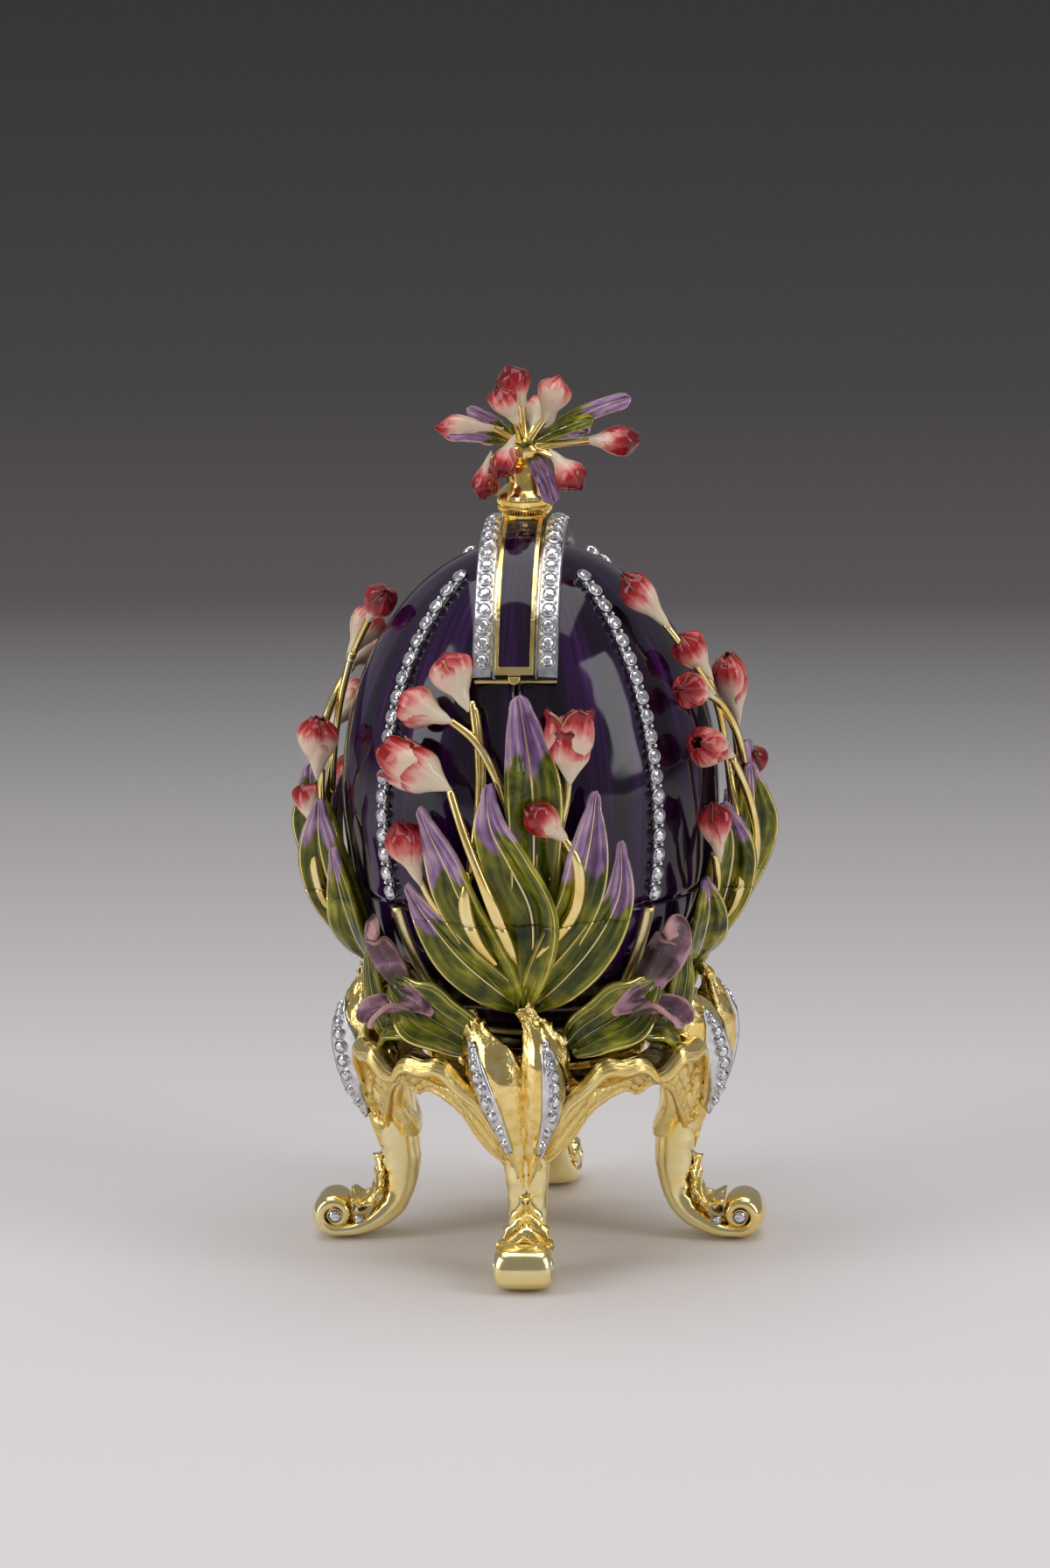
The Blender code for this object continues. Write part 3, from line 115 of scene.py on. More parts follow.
# mesh helpers
def linked(name, data):
    piece = bpy.data.objects.new(name, data)
    bpy.context.scene.collection.objects.link(piece)
    return piece


def fromMesh(name, made, materials, sharp=None):
    mesh = bpy.data.meshes.new(name)
    made.to_mesh(mesh)
    made.free()
    if sharp:
        mesh.shade_smooth()
        mesh.set_sharp_from_angle(angle=math.radians(sharp))
    for material in materials:
        mesh.materials.append(material)
    return linked(name, mesh)


def gridPiece(name, rows, columns, pointAt, material, wrap=False, tone=None, caps=False, sharp=50.0):
    # pointAt(u, v) gives metres, u across from 0 to 1 and v along from 0 to 1
    made = bmesh.new()
    along, across, tint = (made.verts.layers.float.new(layer) for layer in ("along", "across", "tone"))
    lines = []
    for r in range(rows):
        v = r / (rows - 1)
        line = []
        for c in range(columns):
            u = c / columns if wrap else c / (columns - 1)
            corner = made.verts.new(pointAt(u, v))
            corner[along] = v
            corner[across] = u
            corner[tint] = tone(u, v) if tone else v
            line.append(corner)
        lines.append(line)
    for near, far in zip(lines, lines[1:]):
        for c in range(columns if wrap else columns - 1):
            n = (c + 1) % columns
            made.faces.new((near[c], near[n], far[n], far[c]))
    if caps:
        made.faces.new(lines[0])
        made.faces.new(lines[-1])
        bmesh.ops.recalc_face_normals(made, faces=made.faces)
    return fromMesh(name, made, [material], sharp)


def settled(piece):
    # applies the modifiers, or turns a curve into a mesh
    bpy.context.view_layer.update()
    graph = bpy.context.evaluated_depsgraph_get()
    name = piece.name
    made = linked(name, bpy.data.meshes.new_from_object(piece.evaluated_get(graph)))
    bpy.data.objects.remove(piece)
    made.name = name
    return made


def thicken(piece, thickness, offset=-1.0):
    wall = piece.modifiers.new("wall", "SOLIDIFY")
    wall.thickness = thickness * mm
    wall.offset = offset
    return settled(piece)


def wire(name, points, radius, material, radii=None):
    # a round wire through the points, radii scale it along the way
    curve = bpy.data.curves.new(name, "CURVE")
    curve.dimensions = "3D"
    curve.bevel_depth = radius * mm
    curve.bevel_resolution = 3
    curve.use_fill_caps = True
    line = curve.splines.new("POLY")
    count = 6 * (len(points) - 1) + 1
    line.points.add(count - 1)
    for i, spot in enumerate(line.points):
        t = i / (count - 1)
        spot.co = (*smoothBetween(points, t), 1.0)
        spot.radius = smoothBetween([(r,) for r in radii], t)[0] if radii else 1.0
    curve.materials.append(material)
    return settled(linked(name, curve))


def joined(name, pieces):
    # one object from several, with their materials kept
    made = bmesh.new()
    materials = []
    for piece in pieces:
        start = len(made.faces)
        made.from_mesh(piece.data)
        made.faces.ensure_lookup_table()
        materials += [material for material in piece.data.materials if material not in materials]
        slots = [materials.index(material) for material in piece.data.materials]
        for face in made.faces[start:]:
            face.material_index = slots[face.material_index]
    for piece in pieces:
        bpy.data.objects.remove(piece)
    return fromMesh(name, made, materials)


def cutAtSeam(piece):
    # the part above the seam keeps its name, the part below becomes a piece of the bowl
    parts = []
    for suffix, side in (("", 1), ("_below", -1)):
        height = (egg["seam"] + side * egg["seamGap"] / 2) * mm
        made = bmesh.new()
        made.from_mesh(piece.data)
        bmesh.ops.bisect_plane(made, geom=[*made.verts, *made.edges, *made.faces], plane_co=(0, 0, height),
                               plane_no=(0, 0, side), clear_inner=True)
        bmesh.ops.holes_fill(made, edges=[edge for edge in made.edges if edge.is_boundary], sides=0)
        if made.faces:
            mesh = piece.data.copy()
            made.to_mesh(mesh)
            parts.append((linked(piece.name + suffix, mesh), side))
        made.free()
    name = piece.name
    bpy.data.objects.remove(piece)
    parts[0][0].name = name if parts[0][1] > 0 else name + "_below"
    return parts


# finishes
class Finish:
    # a short way to wire a Principled material
    def __init__(self, name, colour, rough, metal=0.0, coat=0.0, coatRough=0.03):
        self.material = bpy.data.materials.new(name)
        self.material.use_nodes = True
        self.nodes = self.material.node_tree.nodes
        self.links = self.material.node_tree.links
        self.shader = self.nodes["Principled BSDF"]
        self.fill(self.shader, {"Base Color": (*colour, 1.0), "Roughness": rough, "Metallic": metal,
                                "Coat Weight": coat, "Coat Roughness": coatRough})

    def put(self, value, socket):
        if hasattr(value, "links"):
            self.links.new(value, socket)
        else:
            socket.default_value = value

    def fill(self, node, values):
        for socket, value in values.items():
            self.put(value, node.inputs[socket])
        return node

    def node(self, kind, values):
        return self.fill(self.nodes.new("ShaderNode" + kind), values)

    def math(self, operation, a, b=0.0):
        node = self.node("Math", {0: a, 1: b})
        node.operation = operation
        return node.outputs[0]

    def times(self, a, b):
        return self.math("MULTIPLY", a, b)

    def plus(self, a, b):
        return self.math("ADD", a, b)

    def swing(self, value, amount):
        # a noise that swings to both sides of nought
        return self.times(self.math("SUBTRACT", value, 0.5), amount)

    def attribute(self, name):
        node = self.nodes.new("ShaderNodeAttribute")
        node.attribute_name = name
        return node.outputs["Fac"]

    def side(self):
        # 0 along the middle of a leaf or petal, 1 at its edges
        return self.math("ABSOLUTE", self.math("SUBTRACT", self.times(self.attribute("across"), 2.0), 1.0))

    def position(self, stretch=(1.0, 1.0, 1.0)):
        where = self.nodes.new("ShaderNodeTexCoord").outputs["Object"]
        return self.node("Mapping", {"Vector": where, "Scale": stretch}).outputs[0]

    def apart(self):
        # X, Y and Z of the place on the object
        where = self.nodes.new("ShaderNodeTexCoord").outputs["Object"]
        return self.node("SeparateXYZ", {0: where}).outputs

    def plane(self, x, y):
        return self.node("CombineXYZ", {"X": x, "Y": y}).outputs[0]

    def meridian(self, aroundScale, upScale):
        # angle round the egg and height, so that streaks run down the egg
        x, y, z = self.apart()
        turn = self.math("ARCTAN2", x, self.times(y, -1.0))
        return self.plane(self.times(turn, aroundScale), self.times(z, upScale))

    def blade(self, acrossScale, alongScale):
        # places on a leaf or petal, so that streaks run along it
        return self.plane(self.times(self.attribute("across"), acrossScale),
                          self.times(self.attribute("along"), alongScale))

    def noise(self, vector, scale, detail=3.0, distortion=0.0):
        values = {"Vector": vector, "Scale": scale, "Detail": detail, "Distortion": distortion}
        return self.node("TexNoise", values).outputs["Fac"]

    def ramp(self, value, stops):
        node = self.node("ValToRGB", {"Fac": value})
        points = node.color_ramp.elements
        while len(points) < len(stops):
            points.new(0.5)
        for point, (where, colour) in zip(points, stops):
            point.position = where
            point.color = (*colour, 1.0)
        return node.outputs["Color"]

    def between(self, value, low, high, to=(0.0, 1.0)):
        node = self.node("MapRange", {"Value": value, "From Min": low, "From Max": high, "To Min": to[0],
                                      "To Max": to[1]})
        node.interpolation_type = "SMOOTHSTEP"
        return node.outputs["Result"]

    def mix(self, factor, a, b):
        node = self.nodes.new("ShaderNodeMix")
        node.data_type = "RGBA"
        a, b = ((*colour, 1.0) if isinstance(colour, tuple) else colour for colour in (a, b))
        return self.fill(node, {"Factor": factor, 6: a, 7: b}).outputs[2]

    def relief(self, height, distance, strength, sockets=("Normal",)):
        node = self.node("Bump", {"Distance": distance, "Strength": strength, "Height": height})
        self.fill(self.shader, {socket: node.outputs["Normal"] for socket in sockets})

    def colour(self, value):
        self.put(value, self.shader.inputs["Base Color"])

    def rough(self, value, low, high, to):
        self.put(self.between(value, low, high, to), self.shader.inputs["Roughness"])


goldTone = {"bright": (1.0, 0.79, 0.31), "deep": (0.88, 0.60, 0.16), "pale": (1.0, 0.90, 0.52)}
noiseLow, noiseHigh = 0.3, 0.7   # where nearly all of a noise lies
bothCoats = ("Normal", "Coat Normal")


def goldStops(*places):
    # deep, bright and pale gold, or only bright and pale
    return [(where, goldTone[tone]) for where, tone in zip(places, ("deep", "bright", "pale")[-len(places):])]


# The patch, grain and skin of a metal are noises for its colour, its gloss and its relief.
metalLooks = {
    "polishedGold": {"rough": 0.14, "patch": (260.0, 4.0), "stops": goldStops(0.3, 0.5, 0.72),
                     "grain": (900.0, 3.0), "gloss": (0.12, 0.22), "skin": (520.0, 2.0),
                     "relief": (0.00012, 0.35)},
    # smooth, with a soft sheen, on the legs
    "satinGold": {"rough": 0.18, "patch": (150.0, 3.0), "stops": goldStops(0.35, 0.65), "grain": (500.0, 3.0),
                  "gloss": (0.13, 0.21), "relief": (0.0006, 0.12)},
    # the strips below the rows of stones
    "mattGold": {"rough": 0.42, "patch": (300.0, 3.0), "stops": goldStops(0.35, 0.65), "gloss": (0.36, 0.48),
                 "relief": (0.0005, 0.3)},
    # carved gold with the uneven skin of a lost-wax casting
    "castGold": {"rough": 0.14, "patch": (420.0, 5.0, 0.6), "stops": goldStops(0.32, 0.5, 0.75),
                 "gloss": (0.2, 0.09), "relief": (0.0006, 0.55)},
    # fine lines that run along the petal
    "brushedGold": {"rough": 0.17, "blade": (1.0, 0.16), "patch": (26.0, 4.0, 0.3),
                    "stops": goldStops(0.3, 0.55, 0.8), "gloss": (0.22, 0.12), "relief": (0.0006, 0.6)},
    "brightSilver": {"base": (0.80, 0.80, 0.82), "rough": 0.16, "patch": (700.0, 3.0),
                     "stops": [(0.3, (0.60, 0.60, 0.63)), (0.6, (0.86, 0.86, 0.88))], "gloss": (0.10, 0.22),
                     "relief": (0.0002, 0.3)},
    # painted shade: silver darkened to stand for the shade under and between the stones
    "paintedShadeSilver": {"base": (0.42, 0.42, 0.44), "rough": 0.32, "patch": (900.0, 3.0),
                   "stops": [(0.3, (0.16, 0.16, 0.17)), (0.65, (0.50, 0.50, 0.52))], "gloss": (0.24, 0.42),
                   "relief": (0.0003, 0.5)},
}


def makeMetal(name):
    look = metalLooks[name]
    made = Finish(name, look.get("base", goldTone["bright"]), look["rough"], 1.0)
    where = made.blade(*look["blade"]) if "blade" in look else made.position()
    patch = made.noise(where, *look["patch"])
    grain = made.noise(where, *look["grain"]) if "grain" in look else patch
    skin = made.noise(where, *look["skin"]) if "skin" in look else patch
    made.colour(made.ramp(patch, look["stops"]))
    made.rough(grain, noiseLow, noiseHigh, look["gloss"])
    made.relief(skin, *look["relief"])
    return made.material


def makePetalGold():
    # smooth and polished in the middle of a petal, nuggety along its edges
    made = Finish("petalGold", goldTone["bright"], 0.10, 1.0)
    end = made.between(made.attribute("along"), 0.7, 0.95)
    edge = made.math("MAXIMUM", made.between(made.side(), 0.4, 0.9), end)
    lumps = made.noise(made.position(), 640.0, 4.0, 0.5)
    made.colour(made.ramp(lumps, goldStops(0.3, 0.55, 0.8)))
    made.rough(edge, 0.0, 1.0, (0.09, 0.20))
    made.relief(made.times(lumps, made.plus(edge, 0.06)), 0.0007, 0.7)
    return made.material


def makeStone():
    # a clear foil-backed stone with painted sparkle: its colour is bright and dark in small patches, standing
    # for facets that catch light and ones that don't
    made = Finish("clearStone", (0.86, 0.90, 0.95), 0.03, 0.85, 1.0, 0.02)
    sparkle = made.noise(made.position(), 2600.0, 1.0)
    stops = [(0.35, (0.42, 0.45, 0.50)), (0.5, (0.85, 0.88, 0.92)), (0.65, (1.0, 1.0, 1.0))]
    made.colour(made.ramp(sparkle, stops))
    return made.material


def makeHingeSteel():
    made = Finish("hingeSteel", (0.55, 0.53, 0.50), 0.3, 1.0)
    made.rough(made.noise(made.position((1.0, 1.0, 0.1)), 1500.0), noiseLow, noiseHigh, (0.22, 0.4))
    return made.material


def enamel(name, colour, coat, coatRough, rough=0.4):
    # colour under a clear gloss, where only the gloss reflects
    made = Finish(name, colour, rough, 0.0, coat, coatRough)
    made.fill(made.shader, {"Specular IOR Level": 0.0})
    return made


def makePurpleEnamel():
    # translucent purple, brushed on in streaks under a thick, slightly wavy gloss
    made = enamel("purpleEnamel", (0.02, 0.004, 0.045), 1.0, 0.075, 0.5)
    broad = made.noise(made.meridian(5.2, 16.0), 1.0, 4.0, 0.6)
    fine = made.noise(made.meridian(26.0, 40.0), 1.0, 4.0, 0.4)
    streak = made.plus(made.times(broad, 0.62), made.times(fine, 0.38))
    made.colour(made.ramp(streak, [(0.38, (0.0040, 0.0010, 0.006)), (0.50, (0.011, 0.002, 0.018)),
                                   (0.60, (0.034, 0.005, 0.062)), (0.72, (0.10, 0.025, 0.17))]))
    made.rough(fine, noiseLow, noiseHigh, (0.4, 0.6))
    made.relief(made.noise(made.position(), 85.0, 1.0, 0.4), 0.0012, 0.45, ("Coat Normal",))
    made.relief(fine, 0.0004, 0.1)
    return made.material


def makeLeafEnamel(name, ribs):
    # green that differs at random, with painted shade: darker down the cupped middle and lighter towards the
    # edges; lilac towards the tip, gold rim and ribs
    made = enamel(name, (0.1, 0.15, 0.03), 0.7, 0.05)
    side = made.side()
    rim = made.times(made.between(side, 0.925, 0.955), made.between(side, 0.975, 0.99, (1.0, 0.0)))
    wave = made.math("ABSOLUTE", made.math("SINE", made.times(side, math.pi * ribs / 2)))
    gilt = made.math("MAXIMUM", rim, made.times(made.between(wave, 0.03, 0.08, (1.0, 0.0)), 0.9))
    veins = made.noise(made.blade(1.7, 1.0), 3.6, 2.5, 0.9)
    cloud = made.noise(made.position(), 190.0, 2.0, 0.4)
    depth = made.plus(made.times(veins, 0.52), made.times(cloud, 0.48))
    # painted shade: the cupped middle of the leaf darker, its edges lighter
    depth = made.plus(depth, made.swing(side, 0.12))
    green = made.ramp(depth, [(0.34, (0.014, 0.024, 0.003)), (0.45, (0.068, 0.084, 0.005)),
                              (0.55, (0.19, 0.19, 0.009)), (0.69, (0.50, 0.46, 0.050))])
    lilac = made.ramp(depth, [(0.36, (0.12, 0.055, 0.15)), (0.50, (0.30, 0.17, 0.34)),
                              (0.66, (0.58, 0.39, 0.50))])
    tip = made.plus(made.attribute("tone"), made.swing(cloud, 0.7))
    made.colour(made.mix(gilt, made.mix(made.between(tip, 0.40, 0.62), green, lilac), goldTone["bright"]))
    made.fill(made.shader, {"Metallic": gilt})
    made.rough(gilt, 0.0, 1.0, (0.45, 0.2))
    made.relief(cloud, 0.0012, 0.45, bothCoats)
    return made.material


def makeTulipEnamel():
    # cream at the foot, blushing to crimson at the lip
    made = enamel("tulipEnamel", (0.8, 0.6, 0.5), 1.0, 0.04)
    side = made.side()
    streak = made.noise(made.blade(4.0, 1.0), 1.6, 2.0, 0.4)
    cloud = made.noise(made.position(), 240.0, 2.0)
    shift = made.plus(made.swing(streak, 0.36), made.swing(cloud, 0.46))
    blush = made.plus(made.plus(made.attribute("tone"), shift), made.times(side, 0.10))
    petal = made.ramp(blush, [(0.38, (0.80, 0.67, 0.49)), (0.55, (0.86, 0.58, 0.46)),
                              (0.66, (0.74, 0.20, 0.17)), (0.77, (0.46, 0.024, 0.028)),
                              (0.94, (0.17, 0.003, 0.008))])
    edge = made.times(made.between(side, 0.92, 0.96), made.attribute("along"))
    made.colour(made.mix(made.times(edge, 0.5), petal, (0.85, 0.55, 0.28)))
    made.rough(streak, noiseLow, noiseHigh, (0.35, 0.5))
    made.relief(cloud, 0.0012, 0.4, bothCoats)
    return made.material


def makeMauveEnamel():
    # dusky mauve with a pink rim, browner and greener low down
    made = enamel("mauveEnamel", (0.2, 0.1, 0.2), 0.9, 0.04)
    along = made.attribute("along")
    cloud = made.noise(made.position(), 230.0, 4.0, 0.6)
    mauve = made.ramp(cloud, [(0.34, (0.050, 0.022, 0.030)), (0.5, (0.17, 0.075, 0.11)),
                              (0.64, (0.48, 0.26, 0.34))])
    end = made.math("MAXIMUM", made.side(), made.between(along, 0.55, 0.95))
    rim = made.between(made.plus(end, made.swing(cloud, 0.6)), 0.80, 1.05)
    low = made.between(made.plus(along, made.times(cloud, 0.4)), 0.30, 0.62)
    made.colour(made.mix(low, (0.075, 0.075, 0.018), made.mix(rim, mauve, (0.62, 0.34, 0.32))))
    made.rough(cloud, noiseLow, noiseHigh, (0.35, 0.5))
    made.relief(cloud, 0.0010, 0.4, bothCoats)
    return made.material


polishedGold, castGold, mattGold = makeMetal("polishedGold"), makeMetal("castGold"), makeMetal("mattGold")
satinGold, brushedGold, petalGold = makeMetal("satinGold"), makeMetal("brushedGold"), makePetalGold()
brightSilver, paintedShadeSilver = makeMetal("brightSilver"), makeMetal("paintedShadeSilver")
clearStone, hingeSteel = makeStone(), makeHingeSteel()
purpleEnamel, tulipEnamel, mauveEnamel = makePurpleEnamel(), makeTulipEnamel(), makeMauveEnamel()
leafEnamel, ribbedEnamel = makeLeafEnamel("leafEnamel", 1), makeLeafEnamel("ribbedEnamel", 5)
print("finishes made")


# egg shells
shells = {"turns": 64, "rows": 64, "splitGap": 0.35, "topGap": 0.002, "footGap": 0.1}


def eggShell(name, start, low, high, clampSide=0):
    # half of a closed wall round the egg, between two heights
    first, last = (math.asin(max(-1.0, min(1.0, (z - egg["middle"]) / eggHalf(z)))) for z in (low, high))

    def pointAt(u, v):
        turn = first + (last - first) * v
        half = egg["above"] if turn > 0 else egg["below"]
        height = egg["middle"] + half * math.sin(turn)
        point = place(start + 180.0 * u, egg["radius"] * math.cos(turn), height)
        if clampSide:
            point.x = clampSide * max(clampSide * point.x, shells["splitGap"] / 2)
        return point * mm

    return thicken(gridPiece(name, shells["rows"], shells["turns"] + 1, pointAt, purpleEnamel), egg["wall"])


def buildShells():
    gap = egg["seamGap"] / 2
    top = egg["middle"] + egg["above"] - shells["topGap"]
    foot = egg["middle"] - egg["below"] + shells["footGap"]
    for side, sideName, start in ((-1, "left", -180.0), (1, "right", 0.0)):
        skin = eggShell(sideName + "DoorEnamel", start, egg["seam"] + gap, top, side)
        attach(skin, sideName + "_door")
        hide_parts(sideName + "_shell")
    halves = [eggShell("bowlHalf", start, foot, egg["seam"] - gap) for start in (0.0, 180.0)]
    bowl = joined("bowlEnamel", halves)
    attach(bowl, "stand")
    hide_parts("bowl")


buildShells()
print("egg shells made")


# Stones in their settings. A crown's rings have height, reach and lag, and fill is the share of the cup that
# a small stone takes.
stoneLook = {"crown": ((0.0, 1.0, 0.0), (0.10, 1.0, 0.0), (0.34, 0.80, 22.5), (0.46, 0.50, 0.0)),
             "fill": 0.78}
stoneSlot, shadeSlot = 1, 2


def ring(made, point, out, reach, height, count, lag=0.0):
    turn = upward.rotation_difference(out).to_matrix()
    corners = []
    for k in range(count):
        a = math.radians(k * 360.0 / count + lag)
        local = Vector((reach * math.cos(a), reach * math.sin(a), height))
        corners.append(made.verts.new(point + turn @ local))
    return corners


def brilliant(made, point, out, radius, turn):
    # crown of a round brilliant, flat facets
    count = 8
    a, b, c, d = (ring(made, point, out, reach * radius, height * radius, count, lag + turn)
                  for height, reach, lag in stoneLook["crown"])
    faces = []
    for k in range(count):
        n = (k + 1) % count
        faces += [(a[k], a[n], b[n], b[k]), (b[k], b[n], c[k]), (c[k], b[n], c[n]), (c[k], c[n], d[n]),
                  (d[k], c[k], d[n])]
    for corners in faces + [d]:
        made.faces.new(corners).material_index = stoneSlot


def cup(made, point, out, radius, depth):
    # a collet: a short tube with a bright rim round the stone; its inner wall and floor are dark silver,
    # painted shade for the gap inside it
    count = 14
    profile = ((1.0, -depth, 0), (1.03, -0.1 * depth, 0), (1.0, 0.14 * radius, 0), (0.92, 0.18 * radius, 0),
               (0.85, 0.10 * radius, shadeSlot), (0.82, -0.12 * radius, shadeSlot))
    lines = [ring(made, point, out, reach * radius, height, count) for reach, height, _ in profile]
    for near, far, (_, _, slot) in zip(lines, lines[1:], profile[1:]):
        for k in range(count):
            n = (k + 1) % count
            face = made.faces.new((near[k], near[n], far[n], far[k]))
            face.material_index = slot
            face.smooth = True
    made.faces.new(lines[-1]).material_index = shadeSlot


def setStone(made, seat, out, cupRadius, depth, radius, lift, turn=0.0):
    # a stone in its cup, all in millimetres
    cup(made, seat * mm, out, cupRadius * mm, depth * mm)
    brilliant(made, (seat + out * lift) * mm, out, radius * mm, turn)


def bead(made, point, radius):
    ball = bmesh.ops.create_uvsphere(made, u_segments=8, v_segments=6, radius=radius * mm,
                                     matrix=Matrix.Translation(point * mm))
    for corner in ball["verts"]:
        for face in corner.link_faces:
            face.smooth = True


# the last slot is dark silver, painted shade inside the cups
def stoneMesh(name, made, metal=brightSilver):
    return fromMesh(name, made, [metal, clearStone, paintedShadeSilver])


rowLook = {"angles": (45.0, 135.0), "pitch": 2.95, "low": 56.9, "cup": 1.14, "cupDepth": 0.8, "seat": 0.82,
           "stone": 0.93, "lift": 0.02, "turn": 11.0, "base": 0.40, "beadOut": 0.66, "bead": 0.34,
           "beadSeat": 0.65, "stripHalf": 0.72, "stripSag": 0.15, "clearStrap": 7.4}


def eggHeights(zFrom, zTo, pitch):
    # heights at an even pitch along the egg's skin
    heights = []
    gone = pitch / 2
    last = onEgg(0.0, zFrom, 0.0)
    steps = 800
    for i in range(1, steps + 1):
        z = zFrom + (zTo - zFrom) * i / steps
        now = onEgg(0.0, z, 0.0)
        gone += (now - last).length / mm
        last = now
        if gone >= pitch:
            gone -= pitch
            heights.append(z)
    return heights


def stoneRow(name, azimuth):
    reach = rowLook["clearStrap"] / abs(math.sin(math.radians(azimuth)))
    top = egg["middle"] + egg["above"] * math.sqrt(1.0 - (reach / egg["radius"]) ** 2)
    heights = eggHeights(rowLook["low"], top, rowLook["pitch"])
    made = bmesh.new()
    side = axes(azimuth)[1]
    for number, z in enumerate(heights):
        seat = onEgg(azimuth, z, rowLook["seat"]) / mm
        setStone(made, seat, eggOut(azimuth, z), rowLook["cup"], rowLook["cupDepth"], rowLook["stone"],
                 rowLook["lift"], rowLook["turn"] * number)
        if number:
            between = onEgg(azimuth, (z + heights[number - 1]) / 2, rowLook["beadSeat"]) / mm
            for way in (-1, 1):
                bead(made, between + side * (way * rowLook["beadOut"]), rowLook["bead"])

    def pointAt(u, v):
        z = heights[0] - 0.5 + (heights[-1] - heights[0] + 0.6) * v
        flat = u * 2.0 - 1.0
        middle = onEgg(azimuth, z, rowLook["base"] - rowLook["stripSag"] * flat * flat)
        return middle + side * (flat * rowLook["stripHalf"] * mm)

    # the strip under the stones is dark silver, painted shade
    strip = thicken(gridPiece(name + "Strip", 60, 5, pointAt, paintedShadeSilver), 0.5)
    return joined(name, [stoneMesh(name + "Stones", made), strip])


def buildRows():
    for side, sideName in ((-1, "left"), (1, "right")):
        for angle, rowName in zip(rowLook["angles"], ("front", "back")):
            row = stoneRow(f"{sideName}{rowName.capitalize()}StoneRow", side * angle)
            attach(row, sideName + "_door")
            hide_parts(f"{sideName}_{rowName}_stone_row")


buildRows()
print("stone rows made")


# Strap over the top. Its beads have a place along the pitch, a size and a spread.
strap = {"halfWidth": 6.3, "frontZ": 91.0, "backZ": 95.0, "edge": 2.9, "crest": 3.4, "step": 2.0, "low": 0.15,
         "stonePitch": 2.78, "firstStone": 0.12, "lastStone": 0.985, "stone": 0.94, "cup": 1.18,
         "cupDepth": 0.5, "turn": 17.0, "endLine": 0.28,
         "beads": ((0.5, 0.30, 0.98), (0.36, 0.16, 0.55), (0.64, 0.16, 0.55))}
bar = {"backZ": 91.4, "half": 2.9, "top": 4.4, "floor": 3.3, "border": 0.65, "clearance": 0.3, "length": 72.0,
       "collarRoom": 4.3, "round": 0.18, "tongueHalf": 0.85, "tongueLong": 1.1}


def overTop(backZ, t):
    # a point and its outward direction on the middle plane, front to back
    start = math.asin((strap["frontZ"] - egg["middle"]) / egg["above"])
    end = math.pi - math.asin((backZ - egg["middle"]) / egg["above"])
    turn = start + (end - start) * t
    y = -egg["radius"] * math.cos(turn)
    rise = egg["above"] * math.sin(turn)
    out = Vector((0.0, y / egg["radius"] ** 2, rise / egg["above"] ** 2)).normalized()
    return Vector((0.0, y, egg["middle"] + rise)), out


def strapLoft(name, section, backZ, material, count=56, tFrom=0.0, tTo=1.0):
    def pointAt(u, v):
        x, offset = cornerOf(section, u)
        point, out = overTop(backZ, tFrom + (tTo - tFrom) * v)
        return (point + Vector((x, 0, 0)) + out * offset) * mm

    return gridPiece(name, count, len(section), pointAt, material, True, None, True, 30.0)


def strapStones(made, side):
    inner = bar["half"] + 0.45
    middle = (inner + strap["halfWidth"]) / 2
    slope = math.atan2(strap["crest"] - strap["edge"], strap["halfWidth"] - inner)
    lean = Vector((side * math.sin(slope), 0, 0))
    pitch = strap["stonePitch"]
    gone = pitch * strap["firstStone"]
    steps = 1200
    last = None
    number = 0
    for i in range(steps + 1):
        t = i / steps
        point, out = overTop(strap["backZ"], t)
        now = point + out * strap["crest"]
        if last is not None:
            gone += (now - last).length
        last = now
        if gone < pitch or t > strap["lastStone"]:
            continue
        gone -= pitch
        number += 1
        ahead = (overTop(strap["backZ"], min(t + 0.01, 1.0))[0] - point).normalized()
        up = (out * math.cos(slope) + lean).normalized()
        cross = up.cross(ahead)
        seat = point + Vector((side * middle, 0, 0)) + out * ((strap["crest"] + strap["edge"]) / 2 + 0.16)
        stone = strap["stone"]
        setStone(made, seat, up, stone * strap["cup"], strap["cupDepth"], stone, 0.02, strap["turn"] * number)
        for way in (-1, 1):
            for along, size, spread in strap["beads"]:
                bead(made, seat + cross * (way * spread) + ahead * (along * pitch) - up * 0.10, size)


def buildStrap():
    inner = bar["half"] + 0.40
    near = shells["splitGap"] / 2
    edge, low, high, crest, step = (strap[key] for key in ("halfWidth", "low", "edge", "crest", "step"))
    outline = [(near, low), (edge - 0.1, low), (edge, 0.4), (edge, high - 0.25), (edge - 0.2, high),
               (inner + 0.2, crest), (inner, crest - 0.2), (inner, step), (near, step)]
    for side, sideName in ((-1, "left"), (1, "right")):
        section = [(side * x, offset) for x, offset in outline]
        rail = strapLoft(sideName + "RailBody", section, strap["backZ"], brightSilver)
        made = bmesh.new()
        strapStones(made, side)
        rail = joined(sideName + "ClaspRail", [rail, stoneMesh("railStones", made)])
        # a gold line closes the rail's front end
        point, out = overTop(strap["backZ"], 0.0)
        ends = [(point + Vector((side * x, 0, 0)) + out * 0.3) * mm for x in (near + 0.25, edge - 0.2)]
        line = wire(sideName + "RailEndLine", ends, strap["endLine"], polishedGold)
        for piece in (rail, line):
            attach(piece, sideName + "_door")
        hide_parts(sideName + "_clasp_rail")


